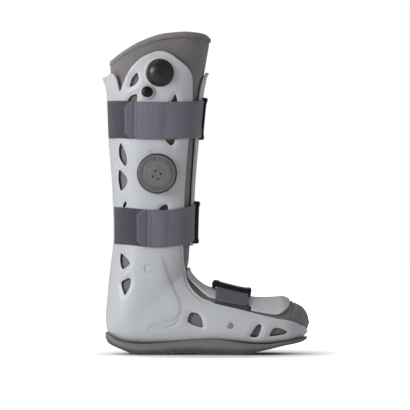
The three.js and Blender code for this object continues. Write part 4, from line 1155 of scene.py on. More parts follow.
def make_shell(s):
    windows = []
    for corners in WINDOWS.values():
        spots = rounded(corners)
        loop = side_to_form(spots + WINDOW_GROWTH * unit(spots - spots.mean(0)))
        windows += [loop, loop * (-1, 1)]
    holes = windows + slot_loops()
    shell = plate("Base_shell", shell_outline(), holes, SHELL_GAP, SHELL_OUTER, 2.4, 0.7,
                  shell_relief(windows), shell_extra())
    wear(shell, Finishes.get("shell"), "shell", nodes=["base_shell"])
    for name, spot, radius, height in (("Moulded_ring", (-5.1, 116.8), 5.4, 2.1),
                                       ("Moulded_mark", (-2.0, 273.4), 2.3, 1.6)):
        bead = bead_ring(name, np.array(spot), radius, height)
        wear(bead, Finishes.get("shell"), "shell")


# Turned pieces on the shell's outer side


def turned(name, spot, profile, seat=None, side=-1, sides=96):
    """A turned piece at a spot of the side view. Its profile gives radius and distance out;
    with a seat, rows marked None in the profile follow the shell, sunk by the seat."""
    level = reach(spot)
    ring, rows = circle(sides), []
    for radius, out in profile:
        spots = spot + radius * ring
        base = np.full(sides, level)
        if seat is not None:
            depth = shell_depth(spots) if radius > 0.1 else np.full(sides, level)
            low = depth - seat
            base = low if out is None else np.maximum(level + out, low + 0.3)
        else:
            base = base + out
        rows.append(np.column_stack([spots[:, 0], side * base, spots[:, 1]]))
    return build(name, np.vstack(rows), tube_faces(len(rows), sides))


def reach(spot):
    return float(shell_depth([spot])[0])


def bead_ring(name, spot, radius, height):
    """A raised ring moulded on the shell"""
    around, rows = circle(72), []
    for cosine, sine in circle(12):
        spots = spot + (radius + 0.7 * cosine) * around
        out = shell_depth(spots) - 0.35 + height * sine * 0.75
        rows.append(np.column_stack([spots[:, 0], -out, spots[:, 1]]))
    return build(name, np.vstack(rows), grid_faces(12, 72, ring=True, loop=True))


def dome_profile(radius, rim, high, steps=10):
    turn = np.linspace(0, math.pi / 2, steps)
    return [(max(radius * math.cos(t), 0.02), rim + (high - rim) * math.sin(t)) for t in turn]


def make_bulb(s):
    spot = leg_spot(*BULB_PLACE)
    profile = [(BULB_RADIUS - 3, None), (BULB_RADIUS - 0.3, None), (BULB_RADIUS, 0.2),
               (BULB_RADIUS, 1.4), (BULB_RADIUS - 0.5, 1.9), (BULB_RADIUS - 1.5, 2.0),
               (BULB_RADIUS - 2.1, 2.3), (BULB_RADIUS - 2.3, 3.0),
               *dome_profile(BULB_RADIUS - 2.3, 3.4, BULB_HEIGHT, 16)]
    bulb = turned("Pump_bulb", spot, profile, seat=SEAT_SINK)
    wear(bulb, Finishes.get("rubber"), "bulb", nodes=["pump_bulb"])


def make_release(s):
    spot = leg_spot(*BUTTON_PLACE)
    bore = BUTTON_RADIUS + BUTTON_CLEARANCE
    rows = [(bore, None), (COLLAR_RADIUS - 0.2, None), (COLLAR_RADIUS + 0.6, 0.3),
            (COLLAR_RADIUS, 1.6), (COLLAR_RADIUS, 2.8), (COLLAR_RADIUS - 0.5, COLLAR_PROUD),
            (bore + 0.5, COLLAR_PROUD), (bore, 2.9)]
    collar = turned("Release_collar", spot, rows, seat=SEAT_SINK)
    points = [tuple(v.co / MM) for v in collar.data.vertices]
    bpy.data.objects.remove(collar)
    collar = build("Release_collar", points, grid_faces(len(rows), 96, ring=True, loop=True))
    wear(collar, Finishes.get("shell"), "shell", nodes=["release_collar"])
    low = BUTTON_FLOOR + BUTTON_TRAVEL
    rows = [(0.02, low), (BUTTON_RADIUS - 0.4, low), (BUTTON_RADIUS, low + 0.4),
            (BUTTON_RADIUS, low + 2.0), *dome_profile(BUTTON_RADIUS, low + 2.4,
                                                      low + BUTTON_HEIGHT, 12)]
    button = turned("Release_button", spot, rows)
    wear(button, Finishes.get("black"), "keeper", "button", ["release_button"])


def make_rivets(s):
    spot = np.array([foot_x(RIVET_PLACE[0]), RIVET_PLACE[1] * ANKLE_HEIGHT])
    rows = [(RIVET_RADIUS - 0.5, None), (RIVET_RADIUS, None), (RIVET_RADIUS, 0.8),
            (RIVET_RADIUS - 0.5, 1.4), (RIVET_RADIUS - 1.1, 1.5), (RIVET_RADIUS - 1.6, 1.1),
            (RIVET_RADIUS - 1.9, 1.1), (RIVET_RADIUS - 2.2, 1.5),
            *dome_profile(RIVET_RADIUS - 2.4, 1.5, RIVET_PROUD, 6)]
    for name, side in (("outer", -1), ("inner", 1)):
        rivet = turned(f"Rivet_{name}", spot, rows, seat=SEAT_SINK, side=side, sides=48)
        wear(rivet, Finishes.get("metal"), "rivet", nodes=[f"rivet_{name}"])


def make_dial(s):
    spot = leg_spot(*DIAL_PLACE)
    proud = DIAL_BASE_PROUD
    rows = [(DIAL_SEAT, None), (DIAL_RIM - 0.2, None), (DIAL_RIM, 0.6),
            (DIAL_RIM, proud - 0.7), (DIAL_RIM - 0.4, proud - 0.1), (DIAL_RIM - 1, proud),
            (0.02, proud)]
    base = turned("Dial_base", spot, rows, seat=SEAT_SINK, sides=120)
    wear(base, Finishes.get("base"), "dial_base", nodes=["dial_base"])
    dial = dial_cap(spot)
    wear(dial, Finishes.get("dial"), "dial", "dial", ["selector_dial"])


# Marks on the dial: middle x, middle z and tilt in degrees
DIAL_SLOTS = [(-1.9, 3.8, 24), (5.7, -0.4, -62), (1.6, -7.9, 28), (-5.6, -4.2, -64)]
# The cap is this much narrower, so that the black base shows round it as a dark ring, partly the
# base's own black and partly painted shade of the gap round the dial
DIAL_SHARE = 0.94


def dial_cap(spot):
    """The dial's cap: grip scallops, fine radial ribs near the rim, slots and a pointer"""
    low, level = DIAL_BASE_PROUD + DIAL_CLEARANCE, reach(spot)
    high = low + DIAL_THICKNESS
    sides = 360
    turn = np.linspace(0, 2 * math.pi, sides, endpoint=False)
    radii = np.concatenate([np.linspace(0.05, 12.6, 43), np.linspace(13, 25.4, 34),
                            [25.8, 26.2, 26.6]])
    rows = []
    for radius in radii:
        x, z = radius * np.cos(turn), radius * np.sin(turn)
        height = np.full(sides, high - 1.5 * (radius / DIAL_RIM) ** 2)
        height -= 0.9 * smooth(25.3, DIAL_RIM, radius) ** 2
        ribs = 0.5 + 0.5 * np.cos(72 * turn)
        height -= 1.1 * ribs ** 2 * smooth(19.5, 20.1, radius) * (1 - smooth(24.6, 25.2, radius))
        height -= 0.5 * np.exp(-((radius - 18.6) / 0.35) ** 2)
        height += 0.35 * (1 - smooth(9.5, 12.0, radius))
        for cx, cz, tilt in DIAL_SLOTS:
            c, d = math.cos(math.radians(tilt)), math.sin(math.radians(tilt))
            along, across = (x - cx) * c + (z - cz) * d, (z - cz) * c - (x - cx) * d
            gap = np.maximum(np.abs(along) - 0.9, 0) ** 2 + across ** 2
            height -= 2.6 * (1 - smooth(0.85, 1.25, np.sqrt(gap)))
        gap = np.hypot(x + 3.1, np.maximum(np.abs(z - 21.4) - 2.6, 0))
        height -= 2.0 * (1 - smooth(0.5, 0.95, gap))
        height += 1.6 * (1 - smooth(0.5, 0.9, np.hypot(x + 3.1, z - 22.6)))
        rows.append(np.column_stack([spot[0] + x * DIAL_SHARE, -(level + height),
                                     spot[1] + z * DIAL_SHARE]))
    for radius, out in ((DIAL_RIM, high - 2.9), (DIAL_RIM, high - 3.6), (DIAL_RIM, low + 1.0),
                        (DIAL_RIM - 0.4, low + 0.2), (DIAL_RIM - 1, low), (0.05, low)):
        grip = 1 - 0.016 * (0.5 - 0.5 * np.cos(48 * turn)) * (radius > 26.8)
        x, z = radius * grip * np.cos(turn), radius * grip * np.sin(turn)
        rows.append(np.column_stack([spot[0] + x * DIAL_SHARE, np.full(sides, -(level + out)),
                                     spot[1] + z * DIAL_SHARE]))
    return build("Selector_dial", np.vstack(rows), tube_faces(len(rows), sides))


# Front panels


def panel_bead(outline_points):
    """A low bead just inside a panel's edge"""
    return lambda points: 0.75 * np.exp(-(near_distance(points, outline_points) - 1.9) ** 2)


def panel(name, half, places, relief_for, smoothing):
    """A front panel from its half outline, with a relief made for its ring and its bead"""
    mirror = np.stack([2 * math.pi - half, places], 1)
    outline = rounded(np.vstack([np.stack([half, places], 1), mirror[::-1]]), smoothing)
    ring = lifted(outline[:, 1], outline[:, 0], PANEL_OUTER)
    relief = relief_for(ring, panel_bead(resample(ring, 0.8, closed=True)))
    made = plate(name, outline, [], PANEL_GAP, PANEL_OUTER, 2.4, 0.8, relief, start=math.pi)
    wear(made, Finishes.get("shell"), "shell", nodes=[name.lower()])


def make_panels(s):
    rows = np.array(SHIN_ROWS)
    line = spline(rows, 14)
    places = place_at_height(leg_z(line[:, 0]))
    half = solve(lambda a: -np.abs(form(places, a)[:, 1]), math.pi / 2, math.pi,
                 -line[:, 1] * CALF_WIDTH)
    flare_at = place_at_height(leg_z(rows[:, 0]))[::-1]

    def flared(_, bead):
        return lambda points, domain: bead(points) + np.interp(
            -domain[:, 1], -flare_at, rows[::-1, 2] * PANEL_FLARE)

    panel("Shin_panel", half, places, flared, 2)
    line = resample(spline(INSTEP_ROWS, 10), 0.05)
    places = INSTEP_ROW + line[:, 0]
    half = angle_at_share(places, line[:, 1], PANEL_GAP)

    def toe_end(ring, bead):
        def relief(points, _):
            away = ring[:, 0].max() - points[:, 0]
            return (bead(points) * smooth(3, 10, away)
                    + 1.5 * np.exp(-((away - 11) / 6) ** 2) - 0.9 * (1 - smooth(0, 5, away)))
        return relief

    panel("Instep_panel", half, places, toe_end, 1)


# Liner and binding


def rim_height(angle):
    across = share_across(np.zeros(np.shape(angle)), angle, 0.0)
    top = spline(LINER_TOP)
    return leg_z(np.interp(across, top[:, 0], top[:, 1]))


def soft_waves(points):
    """Gentle unevenness of padding, from a few slow waves"""
    x, y, z = points.T
    return (np.sin(x * 0.11 + z * 0.05) * np.cos(z * 0.083 + y * 0.06)
            + 0.6 * np.sin(z * 0.19 + y * 0.13 + 1.7) * np.cos(x * 0.17)
            + 0.4 * np.sin(x * 0.31 - z * 0.27 + 0.6))


TOE_SEAMS = (22.1, 22.9)


def liner_lift(points, place, angle):
    """How far the padding stands off the form: waves, seams at the back and at the toe"""
    lift = 0.22 * soft_waves(points) - 0.3
    back = np.abs(np.sin(angle / 2)) * 60 * (np.cos(angle) > 0)
    leg = 1 - smooth(ANKLE_ROW, ANKLE_ROW + 3, place)
    lift -= leg * 0.9 * np.exp(-(back / 1.6) ** 2)
    lift += leg * 0.35 * np.exp(-((back - 4.0) / 2.0) ** 2)
    for seam in TOE_SEAMS:
        bent = place - seam + 0.5 * np.cos(angle)
        lift -= 0.9 * np.exp(-(bent / 0.07) ** 2)
        lift += 0.3 * np.exp(-((np.abs(bent) - 0.2) / 0.09) ** 2)
    return lift


def make_liner(s):
    columns = 240
    angles = np.linspace(0, 2 * math.pi, columns, endpoint=False)
    below = BINDING_DEPTH - 2.2
    rows_by_place = spread_rows(3.0, TOE_ROW - 0.35, 2.4)
    floor = section(3.0)[1]
    top = rim_height(angles) - below
    rows = [place_at_height(top + (floor - top) * share)
            for share in np.linspace(0, 1, 46, endpoint=False)]
    rows += [np.full(columns, place) for place in rows_by_place]
    outer = [lifted(r, angles, liner_lift(form(r, angles), r, angles)) for r in rows]
    inner = [lifted(r, angles, -LINER_WALL) for r in rows]
    count = len(outer)
    points = np.vstack(outer + inner)
    faces = grid_faces(count, columns, ring=True)
    faces += [f[::-1] for f in grid_faces(count, columns, start=count * columns, ring=True)]
    tip, inner_tip = form(TOE_ROW, 0.0), form(TOE_ROW, 0.0) - (LINER_WALL, 0, 0)
    points = np.vstack([points, tip - (0.3, 0, 0), inner_tip])
    last, inner_last = (count - 1) * columns, (2 * count - 1) * columns
    for j in range(columns):
        k = (j + 1) % columns
        faces.append((j, k, count * columns + k, count * columns + j))
        faces.append((last + j, last + k, len(points) - 2))
        faces.append((inner_last + k, inner_last + j, len(points) - 1))
    liner = build("Liner", points, faces)
    wear(liner, Finishes.get("liner"), "liner", nodes=["liner"])
    rib = np.linspace(0.12, math.pi - 0.5, 60)
    for name, side in (("outer", -1), ("inner", 1)):
        place = TOE_SEAMS[0] - 0.5 * np.cos(rib)
        line = resample(lifted(place, rib * side, 0.25), 0.4)
        stitch(f"Toe_stitches_{name}", line, "liner", s)


def stitch(name, line, slot, s):
    """A row of stitches along a line"""
    sizes = {"Length": 0.0023, "Width": 0.0006, "Height": 0.0006, "Pitch": s.stitch_pitch}
    edges = [(k, k + 1) for k in range(len(line) - 1)]
    thread = Finishes.get("thread")
    wear(repeated(name, line, edges, "bead", sizes, thread), thread, slot)


def make_binding(s):
    columns = 300
    angles = np.linspace(0, 2 * math.pi, columns, endpoint=False)
    rim = rim_height(angles)
    pucker = 0.14 * np.sin(angles * 57) + 0.1 * np.sin(angles * 31 + 1.2)
    out, within = 0.75, -LINER_WALL - 0.75
    middle, half = (out + within) / 2, (out - within) / 2
    profile = [(out - 0.1, BINDING_DEPTH), (out, BINDING_DEPTH - 0.6), (out, 5.4)]
    for turn in np.linspace(0, math.pi, 17):
        profile.append((middle + half * math.cos(turn), half * 0.75 * (1 - math.sin(turn))))
    profile += [(within, 5.4), (within, BINDING_DEPTH - 0.6), (within + 0.1, BINDING_DEPTH)]
    loop = profile + [(middle + (lift - middle) * 0.84, min(max(below + 0.7, 0.9),
                                                         BINDING_DEPTH - 0.1))
                      for lift, below in profile[::-1]]
    rows = []
    for lift, below in loop:
        places = place_at_height(rim - below - 0.2)
        side = 1 if lift > middle else -1
        rows.append(lifted(places, angles, lift + pucker * 0.6 * side))
    faces = grid_faces(len(rows), columns, ring=True, loop=True)
    binding = build("Liner_binding", np.vstack(rows), faces)
    wear(binding, Finishes.get("lining"), "binding", nodes=["liner_binding"])
    for name, lift in (("outside", out + 0.12), ("inside", within - 0.12)):
        fine = np.linspace(0, 2 * math.pi, 900)
        places = place_at_height(rim_height(fine) - BINDING_DEPTH + 1.5)
        line = resample(lifted(places, fine, lift), 0.5)
        stitch(f"Rim_stitches_{name}", line, "binding", s)


# Sole


def monotone(x, y, at):
    """Smooth interpolation that never overshoots its rows"""
    slope = np.diff(y) / np.diff(x)
    tangent = np.concatenate([[slope[0]], (slope[1:] + slope[:-1]) / 2, [slope[-1]]])
    flat = slope[1:] * slope[:-1] <= 0
    tangent[1:-1][flat] = 0
    index = np.clip(np.searchsorted(x, at) - 1, 0, len(x) - 2)
    h = x[index + 1] - x[index]
    t = (at - x[index]) / h
    a, b = y[index], y[index + 1]
    m, n = tangent[index] * h, tangent[index + 1] * h
    return ((2 * t ** 3 - 3 * t ** 2 + 1) * a + (t ** 3 - 2 * t ** 2 + t) * m
            + (3 * t ** 2 - 2 * t ** 3) * b + (t ** 3 - t ** 2) * n)


def sole_lines(at):
    rows = np.array(SOLE_ROWS)
    bottom, top, half = (monotone(rows[:, 0], rows[:, k], at) for k in (1, 2, 3))
    return bottom * SOLE_HEIGHT, top * SOLE_HEIGHT, half * SOLE_WIDTH / 2


def shell_underside():
    """A ray finder for the shell's outside from below"""
    places = np.linspace(9.5, SHELL_TOE_END + 1.2, 130)
    turns = np.linspace(-2.2, 2.2, 140)
    grid_p, grid_a = np.meshgrid(places, turns, indexing="ij")
    lift = np.where(grid_p < SHELL_TOE_END, SHELL_OUTER + SEAT_GAP, 0.4)
    points = shell_surface(grid_p, grid_a, lift).reshape(-1, 3)
    return BVHTree.FromPolygons(points.tolist(), grid_faces(130, 140))


def make_sole(s):
    tree = shell_underside()
    stations, recess, lug = 170, 1.7, TREAD_INSET
    at = np.linspace(SOLE_ROWS[0][0], SOLE_ROWS[-1][0], stations)
    bottom, top, half = sole_lines(at)
    from_end = np.minimum(at - at[0], at[-1] - at) * FOOT_LENGTH
    half = half * np.sqrt(np.clip(1 - (1 - np.minimum(from_end / 9, 1)) ** 2, 0.03, 1))
    rows = []
    across = np.linspace(1, -1, 33)
    for x, low, high, wide in zip(foot_x(at), bottom, top, half):
        high = max(high, low + 3.0)
        corner = low + (high - low) * 0.25
        side = [(wide, high - 0.8), (wide - 0.5, high - 1.6), (wide, high - 2.4),
                (wide, corner + (high - corner) * 0.3), (wide - 0.7, corner),
                (wide - 1.6, low + (corner - low) * 0.35), (wide - lug, low)]
        ring = [*side, (wide - lug - 2.2, low), (wide - lug - 2.9, low + recess)]
        ring += [(share * (wide - lug - 2.9), low + recess)
                 for share in np.linspace(0.9, -0.9, 13)]
        ring += [(-y, z) for y, z in ring[::-1] if y > 0][:9]
        upper = []
        for share in across[::-1]:
            y = share * (wide - 0.6)
            hit = tree.ray_cast(Vector((x, y, low - 60.0)), Vector((0, 0, 1)))[0]
            z = high if hit is None else min(high, hit.z)
            upper.append((y, max(z, low + recess + 0.9)))
        rows.append([(x, y, z) for y, z in ring + upper])
    columns = len(rows[0])
    sole = build("Rocker_sole", np.array(rows).reshape(-1, 3), tube_faces(stations, columns))
    wear(sole, Finishes.get("sole"), "sole", nodes=["rocker_sole"])
    lugs, tangents = [], []
    for k, along in enumerate(np.arange(0.03, 0.93, s.lug_pitch / (FOOT_LENGTH * MM))):
        low, _, wide = (float(v[0]) for v in sole_lines(np.array([along])))
        low_next = float(sole_lines(np.array([along + 0.01]))[0][0])
        slope = (low_next - low) / (0.01 * FOOT_LENGTH)
        room = wide - lug - 4.5
        for n, y in enumerate(np.arange(-room, room + 0.1, 8.5)):
            x = foot_x(along) + (4.0 if n % 2 else 0.0)
            base = float(sole_lines(np.array([(x + HEEL_BACK) / FOOT_LENGTH]))[0][0])
            lugs.append((x, y, base + recess / 2 + 0.25))
            turn = math.radians(35 if (n + k) % 2 else -35)
            tangents.append(tuple((Matrix.Rotation(-math.atan(slope), 3, "Y")
                                   @ Matrix.Rotation(turn, 3, "Z")).to_euler()))
    sizes = {"Length": 0.0072, "Width": 0.0028, "Height": (recess + 0.5) * MM, "Pitch": 0.01}
    tread = repeated("Sole_lugs", lugs, [], "block", sizes, Finishes.get("sole"), tangents)
    tread.data.shade_flat()
    wear(tread, Finishes.get("sole"), "sole")


# Straps


def rounded_path(path):
    """A strap's path of (distance, lift) in even steps, with its bends eased"""
    line = np.array(path, float)
    for _ in range(2):
        mid = []
        for a, b in zip(line, line[1:]):
            gap = np.linalg.norm(b - a)
            cut = min(0.25 * gap, 1.6) / max(gap, 1e-6)
            mid += [a + (b - a) * cut, b - (b - a) * cut]
        line = np.array([line[0], *mid[1:-1], line[-1]])
    return resample(line, 1.1)


def ribbon(name, run, path, width, chamfer=0.0):
    """A strap laid along a path, with round selvages; the UV map is in metres"""
    line = rounded_path(path)
    along = travelled(line)
    forward = unit(np.gradient(line, axis=0))
    side = np.stack([-forward[:, 1], forward[:, 0]], 1)
    half_thick, cols = STRAP_THICKNESS / 2, np.linspace(-1, 1, 25)
    loop = [(c, 1.0) for c in cols] + [(1 + 0.012, 0.5), (1 + 0.016, 0.0), (1 + 0.012, -0.5)]
    loop += [(c, -1.0) for c in cols[::-1]] + [(-1 - 0.012, -0.5), (-1 - 0.016, 0.0),
                                               (-1 - 0.012, 0.5)]
    rows, uv, rim = [], [], []
    for centre, out, length in zip(line, side, along):
        half = width / 2 - 0.4 - max(chamfer - abs(centre[0] - line[0][0]), 0)
        share = np.array([c for c, _ in loop])
        level = np.array([t for _, t in loop]) * half_thick
        edge = np.abs(share) > 0.97
        level = level * np.where(edge, 0.8, 1.0)
        end = min(length, along[-1] - length)
        if end < 0.7:
            level = level * (0.55 + 0.45 * math.sqrt(max(end, 0.0) / 0.7))
        spots = centre + out * level[:, None]
        rows.append(run.points(spots[:, 0], share * half, spots[:, 1]))
        uv.append(np.column_stack([np.full(len(loop), length), share * half]) * MM)
        rim.append(np.where(np.abs(share) > 0.9, 1.0, 0.0))
    return build(name, np.vstack(rows), tube_faces(len(rows), len(loop)), np.vstack(uv),
                 np.concatenate(rim)), float(along[-1])


def strap_piece(name, run, path, width, finish, slot, node, chamfer=0.0):
    """A strap, tab or patch, finished"""
    strap, length = ribbon(name, run, path, width, chamfer)
    wear(strap, Finishes.get(finish), slot, nodes=[node])


def across_stitches(name, run, distance, width, lift, s):
    """A row of stitches across a strap"""
    heights = np.linspace(-width / 2 + 2.5, width / 2 - 2.5, 120)
    stitch(name, run.points(distance, heights, lift), "strap", s)


def tab_dots(name, run, first, last, width, lift, chamfer):
    """The raised dots moulded on a strap's free end"""
    spots = []
    for k, distance in enumerate(np.arange(last + 1.5, first - 2.0, 2.3)):
        room = width / 2 - 3.0 - max(chamfer - abs(distance - first), 0)
        heights = np.arange(-width / 2 + 3.2 + 1.15 * (k % 2), width / 2 - 2.8, 2.3)
        spots += [(distance, height) for height in heights if abs(height) <= room]
    distance, height = np.array(spots).T
    points = run.points(distance, height, lift)
    turns = turns_from(run.points(distance + 0.5, height, lift) - points,
                       run.points(distance, height, lift + 1.0) - points)
    sizes = {"Length": 0.0014, "Width": 0.0014, "Height": 0.001, "Pitch": 0.01}
    dots = repeated(name, points, [], "bead", sizes, Finishes.get("tab"), turns)
    wear(dots, Finishes.get("tab"), "strap_tab")


def slot_turn(run, level):
    slot, deep = run.slot, SHELL_GAP / 2
    bend = STRAP_THICKNESS
    return [(slot - bend, level), (slot, level - bend), (slot, deep + bend),
            (slot + bend, deep), (slot + STRAP_TAIL, deep)]


def mirrored(path):
    return [(-distance, lift) for distance, lift in path]


def make_keeper(name, run, width, thickness, layers, node, lobe=0.0):
    """A black bridge with humps at its ends that the strap passes under"""
    under = PANEL_OUTER + 2 * STRAP_GAP + layers * LAYER - LAYER_GAP
    opening, foot = width / 2 + STRAP_GAP, PANEL_OUTER + SEAT_GAP
    end, top = opening + KEEPER_POST, under + thickness
    outer = [(-end, foot), (-end, top - 1.6), (-end + 0.5, top - 0.5), (-end + 1.6, top),
             (-end + 4.6, top + 0.2), (-end + 6.2, top - 0.5), (-end + 9.0, top - 0.9),
             (end - 9.0, top - 0.9), (end - 6.2, top - 0.5), (end - 4.6, top + 0.2),
             (end - 1.6, top), (end - 0.5 + lobe * 0.6, top - 0.5),
             (end + lobe, top - 1.8 - lobe * 0.3), (end + lobe * 0.7, foot + 1.5), (end, foot)]
    inner = [(opening, foot), (opening, under - 0.8), (opening - 0.8, under),
             (-opening + 0.8, under), (-opening, under - 0.8), (-opening, foot)]
    loop = np.vstack([resample(outer, 1.2), resample(inner, 1.6)])
    half = KEEPER_WIDTH / 2 + lobe / 2
    rows = []
    for distance, shrink in ((-half, 0.55), (-half + 0.16, 0.25), (-half + 0.55, 0.0),
                             *[(d, 0.0) for d in np.linspace(-half + 1.5, half - 1.5, 11)],
                             (half - 0.55, 0.0), (half - 0.16, 0.25), (half, 0.55)):
        crown = 0.5 * (1 - (distance / half) ** 2)
        lift = loop[:, 1] - shrink * (loop[:, 1] > under + 0.4) + crown * (
            loop[:, 1] > top - 1.2)
        height = loop[:, 0] - np.sign(loop[:, 0]) * shrink * (np.abs(loop[:, 0]) > opening + 1)
        rows.append(run.points(distance, height, lift))
    shape = bmesh.new()
    verts = [shape.verts.new((p * MM).tolist()) for p in np.vstack(rows)]
    *quads, low_end, high_end = tube_faces(len(rows), len(loop))
    for face in quads:
        shape.faces.new([verts[v] for v in face])
    for face in (low_end, high_end):
        cap = shape.faces.new([verts[v] for v in face])
        bmesh.ops.triangulate(shape, faces=[cap])
    bmesh.ops.recalc_face_normals(shape, faces=shape.faces)
    mesh = bpy.data.meshes.new(name)
    shape.to_mesh(mesh)
    shape.free()
    mesh.shade_smooth()
    mesh.set_sharp_from_angle(angle=math.radians(50))
    wear(linked(name, mesh), Finishes.get("black"), "keeper", nodes=[node])


def make_leg_strap(s, name):
    _, free_end, seam_at, patch_at, thick = LEG_STRAPS[name]
    run = leg_run(name)
    title = name.capitalize()
    upper = ON_SHELL + LAYER
    free, seam = run.at_share(free_end, upper), run.at_share(seam_at, upper)
    patch_end = run.at_share(patch_at, ON_SHELL)
    edge = run.at_angle(float(edge_angle(run.place)))
    flat = min(KEEPER_WIDTH / 2 + CUT_MARGIN, edge - CUT_MARGIN)
    band = [(seam, upper), (patch_end, upper), (patch_end - STEP_DOWN, ON_SHELL),
            (edge, ON_SHELL), (flat, ON_PANEL), (-flat, ON_PANEL), (-edge, ON_SHELL),
            *mirrored(slot_turn(run, ON_SHELL))]
    strap_piece(f"{title}_strap", run, band, STRAP_WIDTH, "strap", "strap", f"{name}_strap")
    patch = [(patch_end + CUT_MARGIN, ON_SHELL), *slot_turn(run, ON_SHELL)]
    strap_piece(f"{title}_loop_patch", run, patch, STRAP_WIDTH, "patch", "loop_patch",
                f"{name}_loop_patch")
    strap_piece(f"{title}_strap_tab", run, [(free, upper), (seam + SEAT_GAP, upper)],
                STRAP_WIDTH, "tab", "strap_tab", f"{name}_strap_tab", TAB_CHAMFER)
    top = upper + STRAP_THICKNESS / 2
    tab_dots(f"{title}_tab_dots", run, free, seam, STRAP_WIDTH, top - DOT_SINK, TAB_CHAMFER)
    for k, distance in enumerate((seam - 1.6, seam - 4.2)):
        across_stitches(f"{title}_seam_stitches_{k}", run, distance, STRAP_WIDTH, top + 0.02, s)
    make_keeper(f"{title}_keeper", run, STRAP_WIDTH, thick * KEEPER_THICKNESS, 1,
                f"{name}_keeper")


def make_foot_strap(s):
    run = StrapRun(lambda height: place_along_foot(foot_x(FOOT_STRAP_ALONG) - height),
                   PANEL_OUTER)
    deep = SHELL_GAP / 2
    shell_edge = run.at_angle(float(edge_angle(run.place)))
    rows = np.array(INSTEP_ROWS)
    share = float(np.interp(run.place - INSTEP_ROW, rows[:, 0], rows[:, 1]))
    panel_edge = run.at_share(share, PANEL_OUTER)
    anchor = run.at_share(FOOT_ANCHOR, 0.0)
    free = run.at_share(FOOT_FREE, ON_PANEL + LAYER) - FOOT_TAB_PAST
    climb = [(panel_edge, ON_PANEL), (shell_edge - STRAP_THICKNESS, deep), (anchor, deep)]
    band = [(FOOT_BAND_START, ON_PANEL + LAYER), (-FOOT_BAND_START, ON_PANEL), *mirrored(climb)]
    strap_piece("Foot_strap", run, band, FOOT_STRAP_WIDTH, "strap", "strap", "foot_strap")
    strap_piece("Foot_loop_patch", run, [(FOOT_PATCH_STOP, ON_PANEL), *climb],
                FOOT_STRAP_WIDTH, "patch", "loop_patch", "foot_loop_patch")
    level = ON_PANEL + LAYER
    strap_piece("Foot_strap_tab", run, [(free, level), (FOOT_BAND_START + SEAT_GAP, level)],
                FOOT_STRAP_WIDTH, "tab", "strap_tab", "foot_strap_tab", FOOT_CHAMFER)
    tab_dots("Foot_tab_dots", run, free, FOOT_DOTS_END, FOOT_STRAP_WIDTH,
             level + STRAP_THICKNESS / 2 - DOT_SINK, FOOT_CHAMFER)
    make_keeper("Foot_keeper", run, FOOT_STRAP_WIDTH, FOOT_KEEPER * KEEPER_THICKNESS, 2,
                "foot_keeper", FOOT_KEEPER_LOBE)


# Stage


def make_stage(s):
    scene = bpy.context.scene
    points = [(x / MM, y / MM, 0.0) for y in (-4.5, 4.5) for x in (-4.5, 4.5)]
    floor = build("Studio_floor", points, [(0, 1, 3, 2)], recalculate=False)
    tree = Finishes.fresh("Studio paper")
    drifted = Finishes.drifted(tree, s.floor_colour, 0.985, 3.0)
    grain = Finishes.effect(tree, "grain", {"Scale": 500.0})
    rough = spread(tree, grain["Dust"], 0.0, 1.0, 0.88, 0.95)
    paper = Finishes.shader("Studio paper", drifted, rough, grain["Height"], 0.00002,
                            Emission_Strength=1.0)
    place = add(tree, "ShaderNodeTexCoord").outputs["Object"]
    away = add(tree, "ShaderNodeVectorMath", {0: place, 1: (0.07, 0, 0)},
               operation="DISTANCE").outputs["Value"]
    seen = add(tree, "ShaderNodeLightPath").outputs["Is Camera Ray"]
    glow = math_node(tree, "MULTIPLY", spread(tree, away, 0.1, 0.27), seen)
    tree.links.new(mix_colour(tree, glow, (0, 0, 0, 1), (1, 1, 1, 1)),
                   tree.nodes["Principled BSDF"].inputs["Emission Color"])
    floor.data.materials.append(paper)
    world = bpy.data.worlds.new("Studio world")
    world.use_nodes = True
    tree = world.node_tree
    seen = add(tree, "ShaderNodeLightPath").outputs["Is Camera Ray"]
    tree.nodes["Background"].inputs[0].default_value = (1, 1, 1, 1)
    tree.links.new(spread(tree, seen, 0.0, 1.0, s.world_strength, 1.0),
                   tree.nodes["Background"].inputs[1])
    scene.world = world
    for name, spot, size, power in (
            ("Key_light", (-1.85, -1.6, 0.95), 0.9, s.key_power),
            ("Fill_light", (1.9, -1.7, 0.9), 1.6, s.key_power * 0.06),
            ("Top_light", (-0.9, 0.2, 2.2), 1.2, s.key_power * 0.16),
            ("Rear_light", (-1.4, 2.0, 1.4), 1.4, s.key_power * 0.3)):
        light = bpy.data.lights.new(name, "AREA")
        light.shape, light.size, light.energy = "SQUARE", size, power
        lamp = linked(name, light)
        lamp.location = spot
        aim = Vector((0.07, 0.0, 0.2)) - lamp.location
        lamp.rotation_euler = aim.to_track_quat("-Z", "Y").to_euler()
    camera = linked("Camera", bpy.data.cameras.new("Camera"))
    target, distance, rise = Vector((0.0722, 0.0, 0.201)), 9.0, math.radians(1.0)
    camera.location = target + distance * Vector((0, -math.cos(rise), math.sin(rise)))
    camera.rotation_euler = (target - camera.location).to_track_quat("-Z", "Y").to_euler()
    camera.data.sensor_width, camera.data.lens = 36.0, 36.0 * distance / 0.5535
    scene.camera = camera
    scene.view_settings.view_transform = "Standard"


# Settings, operators and panel


def colour_of(name, description, value):
    return bpy.props.FloatVectorProperty(
        name=name, description=description, subtype="COLOR", size=4, min=0, max=1,
        default=(*value, 1.0))


def length_of(name, description, value):
    return bpy.props.FloatProperty(name=name, description=description, default=value,
                                   min=0.0002, max=0.05, unit="LENGTH", subtype="DISTANCE",
                                   precision=5)


